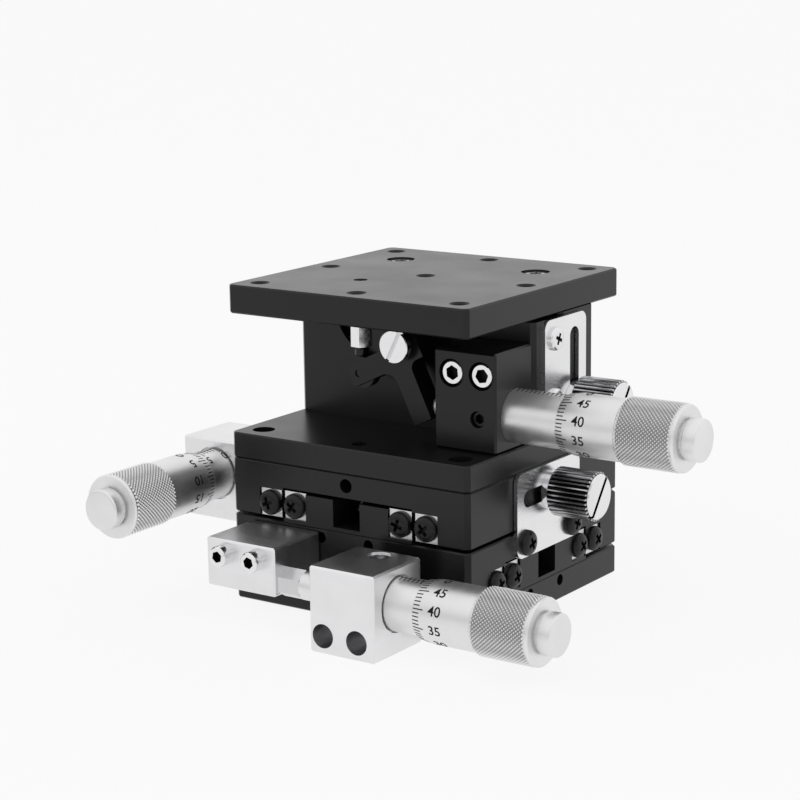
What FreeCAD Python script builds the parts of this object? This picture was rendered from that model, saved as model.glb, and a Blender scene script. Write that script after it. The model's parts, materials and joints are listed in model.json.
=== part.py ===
"""Three-axis (xyz) translation stage with a 60 mm square platform.

Millimetres. +Z is up and the origin is the centre of the base's underside. The X and Y
stages are the same crossed-roller stage turned by a quarter: each is drawn once in a layer
frame, where v runs across the rails (along x), u runs along them (along y) and h is height.
The lift on top of them has the same rail section stood on end.
"""
import FreeCAD
import Part
import math
import os

V = FreeCAD.Vector

# Plates and layers
plate_side = 60.0
corner_chamfer = 1.0
edge_break = 0.3
flange_height = 6.2
layer_pitch = 12.4
layer_gap = 0.6
lift_base_height = 5.5
top_plate_height = 6.1
column_top_gap = 0.6

# Crossed-roller rails
rail_width = 5.5
rail_height = 6.0
rail_gap = 0.9
leg_width = 7.4
rail_end_inset = 0.4
roller_diameter = 2.0
roller_clearance = 0.03
roller_end_clearance = 0.05
rollers_per_cage = 6
roller_pitch = 5.6
lift_rollers_per_cage = 3
lift_roller_pitch = 4.6
cage_thickness = 0.5
rail_seat_rise = 0.2
rib_side_gap = 0.1
rib_top_drop = 0.2
spring_channel_width = 6.8
leg_side_gap = 0.1

# Travels
stage_travel = 6.5
lift_down = 0.5
lift_reading = 12.1

# Micrometer heads
screw_pitch = 0.5
sleeve_radius = 5.55
stem_radius = 3.8
spindle_radius = 3.0
thimble_radius = 6.4
thimble_lip_radius = 5.95
thimble_lip_length = 3.0
thimble_plain_length = 13.4
knurl_radius = 6.95
knurl_length = 13.2
knurl_chamfer = 0.6
cap_radius = 4.3
cap_length = 3.4
cap_stud_radius = 2.15
cap_groove = 0.5
thimble_head_wall = 2.2
thimble_zero_gap = 0.6
sleeve_reach = 23.0
turning_fit = 0.06
sliding_fit = 0.05
stem_fit = 0.03
contact_gap = 0.03

# Micrometer blocks of the two stages
mic_axis_reach = 12.0
mic_axis_height = 10.3
mic_block_front = 21.3
mic_block_length = 15.7
mic_block_depth = 16.6
mic_block_height = 17.8
mic_block_relief = 4.0
mic_block_foot = 5.4
mic_foot_overlap = 0.8
mic_screw_height = 3.7
mic_screw_shift = 0.5
upper_block_rise = 1.2
clamp_screw_offset = 4.6
mic_block_skin = 8.4
block_edge_break = 0.4
sleeve_recess_depth = 1.0
sleeve_recess_gap = 0.35

# Anvil blocks of the two stages
anvil_block_length = 17.7
anvil_block_depth = 15.5
anvil_block_height = 10.3
anvil_block_drop = 0.8
anvil_screw_rise = 7.2
anvil_hex_flats = 5.5
anvil_hex_length = 5.6
anvil_stud_radius = 1.5
anvil_stud_length = 8.0
anvil_spindle_show = 7.0

# Screws
small_cap_head_radius = 2.2
small_cap_head_height = 2.5
small_cap_shank_radius = 1.25
cap_head_radius = 2.65
cap_head_height = 3.0
cap_shank_radius = 1.5
cap_socket_flats = 2.5
cap_socket_depth = 1.4
pan_head_radius = 2.7
pan_head_height = 1.7
pan_head_crown = 0.85
pan_head_top_radius = 1.9
pan_shank_radius = 1.5
pan_shank_length = 6.0
rail_screw_head_radius = 1.9
rail_screw_head_height = 2.0
rail_screw_shank_radius = 1.0
rail_screw_bite = 3.0
rail_screw_setback = 0.55
screw_hole_fit = 0.05
counterbore_gap = 0.3
small_screw_spread = 8.2
clamp_screw_radius = 2.4
clamp_screw_length = 2.4

mic_screw_grip = 3.2
mic_screw_bite = 5.0
anvil_screw_bite = 5.0
lift_base_screw_bite = 3.5
lift_base_screw_x = 7.0
lift_base_screw_y = 20.0
column_screw_bite = 5.5
top_screw_bite = 7.0
top_screw_sink = 0.4
top_counterbore_gap = 0.45
z_block_screw_spread = 7.1
z_block_screw_bite = 3.0
z_block_screw_shift = 0.35
z_clamp_screw_radius = 1.7
z_clamp_screw_inset = 4.4
z_clamp_screw_sink = 0.8
z_clamp_socket_flats = 1.7

# Lock plates and knobs
lock_plate_thickness = 1.0
lock_plate_length = 25.0
lock_plate_shift = -0.7
lock_plate_width = 18.0
lock_plate_corner = 2.0
lock_plate_relief = 0.15
lock_slot_width = 3.6
lock_slot_length = 20.0
lock_slot_edge = 5.8
lock_screw_edge = 3.1
lock_screw_spread = 18.2
lock_stem_radius = 1.5
lock_stem_depth = 6.0
lock_stem_fit = 0.06
lock_knob_drop = 0.5
knob_radius = 5.2
knob_length = 10.0
knob_teeth = 32
knob_tooth_depth = 0.45
knob_tooth_edges = (0.0, 0.45, 0.72)
knob_face_radius = 4.55
knob_bevel = 0.6
knob_collar_radius = 4.0
knob_collar_length = 1.7
knob_slot_width = 1.4
knob_slot_depth = 1.0
knob_slot_turn = 53.0

# Lift
fixed_column_front = -5.0
moving_column_back = 19.2
lift_rail_front = -1.0
z_mic_rise = 6.9
z_mic_plane = -11.4
z_block_left = 14.7
z_block_right = 29.5
z_block_front = -18.9
z_block_height = 20.7
z_block_screw_rise = 9.0
z_lock_plate_width = 16.6
z_lock_plate_length = 22.0
z_lock_plate_front = -2.3
z_lock_knob_height = 43.0
z_lock_knob_shift = 1.0
z_lock_screw_shift = -0.6
z_lock_slot_length = 17.9
z_lock_screw_height = 57.3
z_lock_foot_screw_height = 44.3

# Bell-crank lever of the lift
pivot_x = 3.2
pivot_z = 55.8
lever_thickness = 5.2
lever_tilt = 25.5
lever_bar_below_pivot = 4.1
lever_bar_width = 4.7
lever_bar_tail = 4.0
lever_bar_reach = 15.5
lever_arm_face_offset = 0.2
lever_arm_width = 4.6
lever_arm_reach = 16.6
lever_boss_radius = 3.95
lever_inner_fillet = 3.2
lever_outer_fillet = 2.0
lift_roller_along = -13.2
lift_roller_radius = 3.3
lift_roller_width = 2.4
lift_roller_slot_gap = 0.15
lift_roller_pin_radius = 0.75
lift_anvil_gap = 0.15
lift_anvil_x = -8.8
lift_anvil_bottom = 53.5
lift_anvil_tip_radius = 1.5
lift_anvil_flats = 4.1
lift_anvil_turn = -7.0
lift_anvil_bevel = 0.45
pocket_x = -8.4
lever_tip_gap = 0.25
spindle_dome_radius = 3.2
pivot_shaft_radius = 2.0
pivot_head_radius = 3.5
pivot_head_height = 1.4
pivot_washer_radius = 3.2
pivot_washer_thickness = 1.6
pivot_thread_length = 3.6
pivot_fit = 0.05
pivot_slot_width = 1.4
pivot_slot_depth = 1.0
pivot_slot_turn = -63.0
pocket_radius = 12.3
pocket_depth = 2.0

# Bolting holes
mount_edge = 5.0
mount_hole_radius = 1.65
mount_hole_chamfer = 0.5
lift_base_hole_radius = 2.4
top_screw_spread = 35.0
top_screw_row = 16.0
bed_side_hole_radius = 1.2
bed_side_hole_depth = 5.0
bed_side_hole_height = 4.3
bed_side_hole_spread = 12.1
bed_side_hole_shift = -0.6
table_side_hole_radius = 1.5
table_side_hole_depth = 6.0
table_side_hole_drop = 2.4

# Return springs
spring_radius = 2.1
spring_wire = 0.5
spring_turns = 10
spring_pin_radius = 0.8
spring_pin_depth = 3.0
lift_pin_root = 1.0
spring_pin_past = 1.5
spring_fixed_pin = 24.0
spring_moving_pin = 14.0
z_spring_low_pin = 41.0
z_spring_high_pin = 58.0

# Worked-out places
half_side = plate_side / 2
mount_pitch = plate_side - 2 * mount_edge
rail_inner_edge = half_side - leg_width - leg_side_gap - rail_gap - 2 * rail_width
rail_outer_start = rail_inner_edge + rail_width + rail_gap
rail_outer_end = rail_outer_start + rail_width
rail_length = plate_side - 2 * rail_end_inset
rail_bottom = layer_gap + rail_seat_rise
rail_top = rail_bottom + rail_height
rail_mid_v = rail_inner_edge + rail_width + rail_gap / 2
leg_start = rail_outer_end + leg_side_gap
rib_half = rail_inner_edge - rib_side_gap
shoulder_half = rail_mid_v - rail_gap / 4
table_underside = rail_top + layer_gap
channel_half = spring_channel_width / 2
y_layer = layer_pitch
y_table_top = flange_height + 2 * layer_pitch
lift_floor = y_table_top + lift_base_height
z_mic_height = lift_floor + z_mic_rise
z_block_screw_height = z_mic_height + z_block_screw_rise
lift_bed_h0 = lift_rail_front + rail_top
mic_axis_v = -half_side - mic_axis_reach
lift_top = 62.0
fixed_column_top = lift_top - column_top_gap
platform_top = lift_top + top_plate_height
lever_front = z_mic_plane - lever_thickness / 2
lever_back = z_mic_plane + lever_thickness / 2
tilt_cos = math.cos(math.radians(lever_tilt))
tilt_sin = math.sin(math.radians(lever_tilt))
lift_roller_up = lever_bar_width / 2 - lever_bar_below_pivot
lift_roller_x = pivot_x + lift_roller_along * tilt_cos - lift_roller_up * tilt_sin
lift_roller_z = pivot_z + lift_roller_along * tilt_sin + lift_roller_up * tilt_cos
anvil_tip_low = lift_roller_z + lift_roller_radius + lift_anvil_gap

parts = {}


def box(x0, x1, y0, y1, z0, z1):
    """A block between two corners."""
    return Part.makeBox(x1 - x0, y1 - y0, z1 - z0, V(x0, y0, z0))


def rod(radius, start, end):
    """A round bar between two points."""
    start = V(*start)
    path = V(*end) - start
    return Part.makeCylinder(radius, path.Length, start, path)


def cone(r0, r1, start, end):
    """A tapered round bar between two points."""
    start = V(*start)
    path = V(*end) - start
    return Part.makeCone(r0, r1, path.Length, start, path)


def prism(points, path):
    """A flat outline pushed along a path."""
    wire = Part.makePolygon([V(*p) for p in points] + [V(*points[0])])
    return Part.Face(wire).extrude(V(*path))


def joined(shapes):
    """One solid from shapes that meet."""
    first = shapes[0].multiFuse(shapes[1:])
    return first.removeSplitter()


def moved(shape, x=0.0, y=0.0, z=0.0):
    """A copy pushed along the axes."""
    copy = shape.copy()
    copy.translate(V(x, y, z))
    return copy


def turned(shape, axis, degrees, centre=(0, 0, 0)):
    """A copy turned about an axis."""
    copy = shape.copy()
    copy.rotate(V(*centre), V(*axis), degrees)
    return copy


def to_x_stage(shape):
    """A layer-frame shape brought to the X stage, the lowest layer."""
    return turned(shape, (0, 0, 1), 90)


def to_y_stage(shape):
    """A layer-frame shape brought to the Y stage, one layer up."""
    return moved(shape, z=y_layer)


def group(shapes):
    """Separate solids kept together in one piece of the list."""
    return Part.makeCompound(shapes)


def mirrored_pair(shape):
    """A shape and its twin on the other side of the rails' middle plane."""
    return [shape, shape.mirror(V(0, 0, 0), V(1, 0, 0))]


def broken_edges(shape, size, keep):
    """The shape with the chosen outer edges chamfered."""
    edges = [edge for edge in shape.Edges if keep(edge)]
    return shape.makeChamfer(size, edges)


def level_edges(z_levels):
    """Picks the edges that lie flat at one of the heights."""
    def keep(edge):
        box_of_edge = edge.BoundBox
        flat = box_of_edge.ZLength < 1e-6
        return flat and any(abs(box_of_edge.ZMin - z) < 1e-6 for z in z_levels)
    return keep


def square_plate(z0, z1):
    """The stage's square plate with its four corners cut and its edges broken."""
    far = half_side
    near = half_side - corner_chamfer
    outline = [(-far, -near), (-near, -far), (near, -far), (far, -near),
               (far, near), (near, far), (-near, far), (-far, near)]
    plate = prism([(x, y, z0) for x, y in outline], (0, 0, z1 - z0))
    return broken_edges(plate, edge_break, level_edges([z0, z1]))


def tapped_hole(x, y, z_mouth, z_end, radius):
    """The empty space of a hole with a chamfered mouth."""
    into = 1.0 if z_end > z_mouth else -1.0
    z_cone_end = z_mouth + into * mount_hole_chamfer
    mouth = cone(radius + mount_hole_chamfer, radius, (x, y, z_mouth), (x, y, z_cone_end))
    return mouth.fuse(rod(radius, (x, y, z_mouth), (x, y, z_end)))


def four_corners(pitch):
    """The corners of a square hole pattern."""
    half = pitch / 2
    return [(sx * half, sy * half) for sx in (-1, 1) for sy in (-1, 1)]


def hex_bar(flats, start, axis, length, turn=0.0):
    """A hexagonal bar along a main axis, given across its flats."""
    radius = flats / math.sqrt(3)
    corners = []
    for i in range(6):
        angle = math.radians(60 * i + turn)
        a = radius * math.cos(angle)
        b = radius * math.sin(angle)
        corners.append({"x": (0, a, b), "y": (a, 0, b), "z": (a, b, 0)}[axis])
    path = {"x": (length, 0, 0), "y": (0, length, 0), "z": (0, 0, length)}[axis]
    return moved(prism(corners, path), *start)


def cap_screw(head_radius, head_height, shank_radius, shank_length, socket=True):
    """A socket cap screw with its head's seat at the origin, pointing down."""
    head = rod(head_radius, (0, 0, 0), (0, 0, head_height))
    top_edges = level_edges([head_height])
    head = broken_edges(head, edge_break, top_edges)
    if socket:
        mouth = head_height - cap_socket_depth
        head = head.cut(hex_bar(cap_socket_flats, (0, 0, mouth), "z", head_height))
    return head.fuse(rod(shank_radius, (0, 0, 0), (0, 0, -shank_length)))


def pan_screw():
    """A pan-head screw with its head's seat at the origin, pointing down."""
    crown_start = (0, 0, pan_head_height - pan_head_crown)
    low = rod(pan_head_radius, (0, 0, 0), crown_start)
    top = cone(pan_head_radius, pan_head_top_radius, crown_start, (0, 0, pan_head_height))
    shank = rod(pan_shank_radius, (0, 0, 0), (0, 0, -pan_shank_length))
    return joined([low, top, shank])


def pointed(shape, direction, place):
    """A screw that points down, turned so that its head looks along direction."""
    copy = shape.copy()
    copy.Placement = FreeCAD.Placement(V(*place), FreeCAD.Rotation(V(0, 0, 1), V(*direction)))
    return copy


def rail(v_start, groove_at_end, u0, u1, head_up):
    """One V-groove rail of the layer frame, with its two fixing counterbores."""
    v_end = v_start + rail_width
    groove_edge = v_end if groove_at_end else v_start
    inward = -1.0 if groove_at_end else 1.0
    depth = roller_diameter / math.sqrt(2) - rail_gap / 2
    mid_h = (rail_bottom + rail_top) / 2
    body = box(v_start, v_end, u0, u1, rail_bottom, rail_top)
    groove = prism([(groove_edge, u0, mid_h - depth), (groove_edge + inward * depth, u0, mid_h),
                    (groove_edge, u0, mid_h + depth)], (0, u1 - u0, 0))
    body = body.cut(groove)
    for u in rail_screw_places(u0, u1):
        v_screw = rail_screw_line(v_start, groove_at_end)
        seat = rail_top - rail_screw_head_height if head_up else rail_bottom + rail_screw_head_height
        mouth = rail_top if head_up else rail_bottom
        other = rail_bottom if head_up else rail_top
        wide = rail_screw_head_radius + counterbore_gap / 2
        narrow = rail_screw_shank_radius + screw_hole_fit
        body = body.cut(rod(wide, (v_screw, u, seat), (v_screw, u, mouth)))
        body = body.cut(rod(narrow, (v_screw, u, other), (v_screw, u, mouth)))
    return body


def rail_screw_places(u0, u1):
    """Where a rail's two fixing screws stand along it."""
    middle = (u0 + u1) / 2
    reach = (u1 - u0) / 3
    return [middle - reach, middle + reach]


def rail_screw_line(v_start, groove_at_end):
    """The line of a rail's fixing screws, set back from its groove."""
    setback = -rail_screw_setback if groove_at_end else rail_screw_setback
    return v_start + rail_width / 2 + setback


def inner_rails(u0, u1):
    """The two rails beside the rib."""
    return mirrored_pair(rail(rail_inner_edge, True, u0, u1, True))


def outer_rails(u0, u1):
    """The two rails inside the legs."""
    return mirrored_pair(rail(rail_outer_start, False, u0, u1, False))


def rail_screws(v_start, groove_at_end, u0, u1, head_up):
    """The screws that hold one pair of rails to their plate."""
    length = rail_height - rail_screw_head_height + rail_screw_bite
    screw = cap_screw(rail_screw_head_radius, rail_screw_head_height - 2 * screw_hole_fit,
                      rail_screw_shank_radius, length, False)
    v_screw = rail_screw_line(v_start, groove_at_end)
    solids = []
    for u in rail_screw_places(u0, u1):
        if head_up:
            seat = rail_top - rail_screw_head_height
            one = pointed(screw, (0, 0, 1), (v_screw, u, seat))
        else:
            seat = rail_bottom + rail_screw_head_height
            one = pointed(screw, (0, 0, -1), (v_screw, u, seat))
        solids += mirrored_pair(one)
    return solids


def inner_rail_screws(u0, u1):
    """The screws of the rails beside the rib."""
    return rail_screws(rail_inner_edge, True, u0, u1, True)


def outer_rail_screws(u0, u1):
    """The screws of the rails inside the legs."""
    return rail_screws(rail_outer_start, False, u0, u1, False)


def rail_screw_holes(v_start, groove_at_end, u0, u1, head_up):
    """The tapped holes that the rails' screws need in their plate."""
    v_screw = rail_screw_line(v_start, groove_at_end)
    start = rail_bottom if head_up else rail_top
    end = start - rail_screw_bite if head_up else start + rail_screw_bite
    solids = []
    for u in rail_screw_places(u0, u1):
        solids += mirrored_pair(rod(rail_screw_shank_radius, (v_screw, u, start), (v_screw, u, end)))
    return solids


def rail_end_screw_holes(v_start, u0, u1):
    """The tapped holes in the ends of one pair of rails."""
    v_mid = v_start + rail_width / 2
    mid_h = (rail_bottom + rail_top) / 2
    solids = []
    for start, end in ((u0, u0 + pan_shank_length), (u1 - pan_shank_length, u1)):
        solids += mirrored_pair(rod(pan_shank_radius, (v_mid, start, mid_h), (v_mid, end, mid_h)))
    return solids


def rail_end_screws(v_start, u0, u1):
    """The pan screws in the rail ends, which keep the roller cages in."""
    v_mid = v_start + rail_width / 2
    mid_h = (rail_bottom + rail_top) / 2
    screw = pan_screw()
    ends = [pointed(screw, (0, -1, 0), (v_mid, u0, mid_h)),
            pointed(screw, (0, 1, 0), (v_mid, u1, mid_h))]
    return mirrored_pair(ends[0]) + mirrored_pair(ends[1])


def roller_cages(count, pitch):
    """Both cage strips of a stage with their crossed rollers."""
    mid_h = (rail_bottom + rail_top) / 2
    half_length = count * pitch / 2
    half_height = rail_height / 2 - edge_break
    window = roller_diameter / 2 + 2 * roller_clearance
    strip = box(rail_mid_v - cage_thickness / 2, rail_mid_v + cage_thickness / 2,
                -half_length, half_length, mid_h - half_height, mid_h + half_height)
    rollers = []
    for i in range(count):
        u = (i - (count - 1) / 2) * pitch
        radius = roller_diameter / 2 - roller_clearance
        half = radius - roller_end_clearance
        tilt = 45 if i % 2 else -45
        bar = rod(radius, (0, 0, -half), (0, 0, half))
        bar = turned(bar, (0, 1, 0), tilt)
        rollers.append(moved(bar, rail_mid_v, u, mid_h))
        reach = window * math.sqrt(2)
        opening = box(rail_mid_v - cage_thickness, rail_mid_v + cage_thickness,
                      u - window, u + window, mid_h - reach, mid_h + reach)
        strip = strip.cut(opening)
    solids = []
    for shape in [strip] + rollers:
        solids += mirrored_pair(shape)
    return solids


def bed_section(u0, u1):
    """The rib and the rail shoulders that stand on a fixed plate."""
    shoulder = box(-shoulder_half, shoulder_half, u0, u1, 0, rail_bottom)
    rib = box(-rib_half, rib_half, u0, u1, 0, rail_top - rib_top_drop)
    channel = box(-channel_half, channel_half, u0, u1, rail_bottom, rail_top)
    return joined([shoulder, rib]).cut(channel)


def table_hollow(u0, u1):
    """The space under a table between its legs."""
    over_rails = box(-leg_start, leg_start, u0, u1, 0, rail_top)
    over_rib = box(-shoulder_half, shoulder_half, u0, u1, 0, table_underside)
    return over_rails.fuse(over_rib)


def layer_table():
    """A table of the layer frame, with nothing on top yet."""
    table = square_plate(flange_height + layer_gap, flange_height + layer_pitch)
    over = half_side + 1
    table = table.cut(moved(table_hollow(-over, over), z=flange_height))
    holes = rail_screw_holes(rail_outer_start, False, -rail_length / 2, rail_length / 2, False)
    for hole in holes:
        table = table.cut(moved(hole, z=flange_height))
    table = table.cut(group(anvil_block_holes()))
    table = table.cut(lock_stem_hole())
    table = table.cut(table_side_hole())
    return table.cut(spring_pin_hole(flange_height + table_underside, spring_moving_pin))


def layer_bed():
    """The rib section on top of a fixed plate, with its holes."""
    return moved(bed_section(-half_side, half_side), z=flange_height)


def bed_holes(rise):
    """Every hole that a fixed plate needs for the layer above it."""
    holes = [moved(hole, z=flange_height) for hole in
             rail_screw_holes(rail_inner_edge, True, -rail_length / 2, rail_length / 2, True)]
    holes += [moved(hole, z=rise) for hole in mic_block_screw_holes()]
    holes += lock_plate_screw_holes()
    for v in (-bed_side_hole_spread / 2, bed_side_hole_spread / 2):
        v_hole = v + bed_side_hole_shift
        holes.append(rod(bed_side_hole_radius, (v_hole, -half_side - 1, bed_side_hole_height),
                         (v_hole, -half_side + bed_side_hole_depth, bed_side_hole_height)))
    return holes


def table_side_hole():
    """The small blind hole in the middle of a table's front edge."""
    h = flange_height + layer_pitch - table_side_hole_drop
    return rod(table_side_hole_radius, (0, -half_side - 1, h), (0, -half_side + table_side_hole_depth, h))


def spring_pin_hole(h_start, u):
    """The hole that holds a table's spring pin, from the underside up."""
    return rod(spring_pin_radius, (0, u, h_start), (0, u, h_start + spring_pin_depth))


def spring_pins():
    """The fixed pin in the bed's channel and the moving pin under the table."""
    floor = flange_height + rail_bottom
    roof = flange_height + table_underside
    clear = layer_gap
    fixed = rod(spring_pin_radius, (0, -spring_fixed_pin, floor - spring_pin_depth),
                (0, -spring_fixed_pin, roof - clear))
    moving = rod(spring_pin_radius, (0, spring_moving_pin, floor + clear),
                 (0, spring_moving_pin, roof + spring_pin_depth))
    return fixed, moving


def return_spring(length):
    """A close-wound extension spring along y from 0 to length, with its two loops."""
    loop = spring_pin_radius + spring_wire / 2 + sliding_fit
    coil_start = 2 * loop
    coil_end = length - 2 * loop
    pitch = (coil_end - coil_start) / spring_turns
    outline = [(0, coil_start)]
    for i in range(spring_turns):
        y = coil_start + i * pitch
        outline.append((spring_radius - spring_wire / 2, y))
        outline.append((spring_radius, y + pitch / 2))
    outline.append((spring_radius - spring_wire / 2, coil_end))
    outline.append((0, coil_end))
    wire = Part.makePolygon([V(r, y, 0) for r, y in outline + [outline[0]]])
    coil = Part.Face(wire).revolve(V(0, 0, 0), V(0, 1, 0), 360)
    bore = spring_radius - 2 * spring_wire
    coil = coil.cut(rod(bore, (0, coil_start, 0), (0, coil_end, 0)))
    loops = []
    for y in (0, length):
        ring = Part.makeTorus(loop, spring_wire / 2, V(0, y, 0), V(0, 0, 1))
        loops.append(ring)
        near = coil_start if y == 0 else coil_end
        inner = y + loop if y == 0 else y - loop
        hook = rod(spring_wire / 2, (0, inner, 0), (0, near, 0))
        side = spring_radius - spring_wire
        step = spring_wire if y == 0 else -spring_wire
        bar = box(-side, side, min(near, near + step), max(near, near + step),
                  -spring_wire / 2, spring_wire / 2)
        loops.append(hook)
        loops.append(bar)
    return joined([coil] + loops)


def layer_spring():
    """The spring of a layer, hooked on both pins."""
    middle = flange_height + rail_bottom + rail_height / 2
    spring = return_spring(spring_fixed_pin + spring_moving_pin)
    return moved(spring, y=-spring_fixed_pin, z=middle)


def mic_block():
    """A stage's micrometer block, which stands clear of the sliding table."""
    outer = -half_side - mic_block_relief - mic_block_depth
    inner = -half_side - mic_block_relief
    back = mic_block_front - mic_block_length
    block = box(outer, inner, -mic_block_front, -back, 0, mic_block_height)
    block = block.makeChamfer(block_edge_break, block.Edges)
    foot = box(inner - mic_foot_overlap, -half_side, -mic_block_front + block_edge_break,
               -back - block_edge_break, block_edge_break, mic_block_foot)
    block = joined([block, foot])
    axis = (mic_axis_v, mic_axis_height)
    block = block.cut(rod(stem_radius + stem_fit, (axis[0], -mic_block_front - 1, axis[1]),
                          (axis[0], -back + 1, axis[1])))
    recess = sleeve_radius + sleeve_recess_gap
    block = block.cut(rod(recess, (axis[0], -mic_block_front - 1, axis[1]),
                          (axis[0], -mic_block_front + sleeve_recess_depth, axis[1])))
    block = block.cut(clamp_screw_hole())
    for hole in mic_block_screw_holes() + mic_block_counterbores():
        block = block.cut(hole)
    return block


def clamp_screw_place():
    """Where the clamp screw stands on top of the block, off the micrometer's axis."""
    return mic_axis_v + clamp_screw_offset, -mic_block_front + mic_block_length / 2


def clamp_screw_hole():
    """The tapped hole of the clamp screw, down to the stem."""
    v, u = clamp_screw_place()
    return rod(clamp_screw_radius + screw_hole_fit, (v, u, mic_axis_height),
               (v, u, mic_block_height + 1))


def clamp_screw():
    """The socket set screw that clamps the micrometer's stem."""
    v, u = clamp_screw_place()
    top = mic_block_height - edge_break
    body = rod(clamp_screw_radius, (v, u, top - clamp_screw_length), (v, u, top))
    socket = hex_bar(cap_socket_flats, (v, u, top - cap_socket_depth), "z", cap_socket_depth * 2)
    return body.cut(socket)


def mic_block_screw_lines():
    """The u places of the block's two fixing screws."""
    middle = -mic_block_front + mic_block_length / 2 + mic_screw_shift
    return [middle - small_screw_spread / 2, middle + small_screw_spread / 2]


def mic_block_screw_holes():
    """Screw holes from the counterbores into the plate behind."""
    h = mic_screw_height
    outer = -half_side - mic_block_relief - mic_block_depth
    radius = small_cap_shank_radius + screw_hole_fit
    end = -half_side + mic_screw_bite
    return [rod(radius, (outer, u, h), (end, u, h)) for u in mic_block_screw_lines()]


def mic_block_counterbores():
    """Deep counterbores, which leave a short grip in the foot."""
    h = mic_screw_height
    outer = -half_side - mic_block_relief - mic_block_depth
    radius = small_cap_head_radius + counterbore_gap
    end = outer + mic_block_depth - mic_screw_grip
    return [rod(radius, (outer - 1, u, h), (end, u, h)) for u in mic_block_screw_lines()]


def mic_block_screws():
    """Two cap screws deep in the block and the clamp screw on top."""
    h = mic_screw_height
    outer = -half_side - mic_block_relief - mic_block_depth
    seat = outer + mic_block_depth - mic_screw_grip
    length = -half_side + mic_screw_bite - seat
    screw = cap_screw(small_cap_head_radius, small_cap_head_height, small_cap_shank_radius, length)
    solids = [pointed(screw, (-1, 0, 0), (seat, u, h)) for u in mic_block_screw_lines()]
    return solids + [clamp_screw()]


def anvil_block_span():
    """The u span of a stage's anvil block, with the hex anvil facing the micrometer."""
    back = mic_block_front - mic_block_length
    spindle_show = anvil_spindle_show
    start = -back + spindle_show + anvil_hex_length
    return start, start + anvil_block_length


def anvil_block(axis_height):
    """The block on the table's side that carries the hexagonal anvil."""
    u0, u1 = anvil_block_span()
    h0 = flange_height + layer_gap + anvil_block_drop
    block = box(-half_side - anvil_block_depth, -half_side, u0, u1, h0, h0 + anvil_block_height)
    block = block.makeChamfer(block_edge_break, block.Edges)
    stud = rod(anvil_stud_radius + screw_hole_fit, (mic_axis_v, u0 - 1, axis_height),
               (mic_axis_v, u0 + anvil_stud_length, axis_height))
    block = block.cut(stud)
    for hole in anvil_block_holes():
        block = block.cut(hole)
    return block


def anvil_block_screw_height():
    """Height of the anvil block's screws in the layer frame."""
    return flange_height + layer_gap + anvil_block_drop + anvil_screw_rise


def anvil_block_screw_lines():
    """The u places of the anvil block's screws."""
    u0, u1 = anvil_block_span()
    middle = (u0 + u1) / 2
    return [middle - small_screw_spread / 2, middle + small_screw_spread / 2]


def anvil_block_holes():
    """Screw holes through the anvil block and into the table."""
    h = anvil_block_screw_height()
    radius = small_cap_shank_radius + screw_hole_fit
    start = -half_side - anvil_block_depth - 1
    end = -half_side + anvil_screw_bite
    return [rod(radius, (start, u, h), (end, u, h)) for u in anvil_block_screw_lines()]


def anvil_block_screws():
    """Two cap screws whose heads stand on the block's face."""
    h = anvil_block_screw_height()
    length = anvil_block_depth + anvil_screw_bite
    screw = cap_screw(small_cap_head_radius, small_cap_head_height, small_cap_shank_radius, length)
    seat = -half_side - anvil_block_depth
    return [pointed(screw, (-1, 0, 0), (seat, u, h)) for u in anvil_block_screw_lines()]


def hex_anvil():
    """The hexagonal anvil with its stud in the block."""
    u0 = anvil_block_span()[0]
    start = (mic_axis_v, u0 - anvil_hex_length, mic_axis_height)
    bar = hex_bar(anvil_hex_flats, start, "y", anvil_hex_length, turn=30.0)
    stud = rod(anvil_stud_radius, (mic_axis_v, u0 - edge_break, mic_axis_height),
               (mic_axis_v, u0 + anvil_stud_length, mic_axis_height))
    return joined([bar, stud])


def head_sleeve(stem_length):
    """A micrometer's sleeve along -y, with its block face at y = 0."""
    outer = rod(sleeve_radius, (0, sleeve_recess_depth, 0), (0, -sleeve_reach, 0))
    stem = rod(stem_radius, (0, 0, 0), (0, stem_length, 0))
    bore = rod(spindle_radius + sliding_fit, (0, -sleeve_reach - 1, 0), (0, stem_length + 1, 0))
    return joined([outer, stem]).cut(bore)


def head_thimble():
    """A micrometer's thimble along -y, with its graduated lip at y = 0."""
    plain_end = -thimble_plain_length
    knurl_end = plain_end - knurl_length
    step = (knurl_radius - thimble_radius) / 2
    outline = [(0, 0), (thimble_lip_radius, 0), (thimble_radius, -thimble_lip_length),
               (thimble_radius, plain_end + step), (knurl_radius - step, plain_end),
               (knurl_radius, plain_end - step), (knurl_radius, knurl_end + knurl_chamfer),
               (knurl_radius - knurl_chamfer, knurl_end), (0, knurl_end)]
    wire = Part.makePolygon([V(r, y, 0) for r, y in outline + [outline[0]]])
    body = Part.Face(wire).revolve(V(0, 0, 0), V(0, 1, 0), 360)
    cavity_end = knurl_end + thimble_head_wall
    body = body.cut(rod(sleeve_radius + turning_fit, (0, 1, 0), (0, cavity_end, 0)))
    seat = rod(cap_stud_radius, (0, cavity_end, 0), (0, knurl_end - 1, 0))
    return body.cut(seat)


def head_cap():
    """The button that closes the thimble's end and ties it to the spindle."""
    knurl_end = -thimble_plain_length - knurl_length
    stud_start = knurl_end + thimble_head_wall
    stud = rod(cap_stud_radius, (0, stud_start, 0), (0, knurl_end, 0))
    neck = rod(cap_radius - cap_groove, (0, knurl_end, 0), (0, knurl_end - cap_groove, 0))
    button = rod(cap_radius, (0, knurl_end - cap_groove, 0), (0, knurl_end - cap_length, 0))
    face = [edge for edge in button.Edges if abs(edge.BoundBox.YMin - (knurl_end - cap_length)) < 1e-6
            and edge.BoundBox.YLength < 1e-6]
    button = button.makeChamfer(edge_break, face)
    return joined([stud, neck, button])


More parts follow.
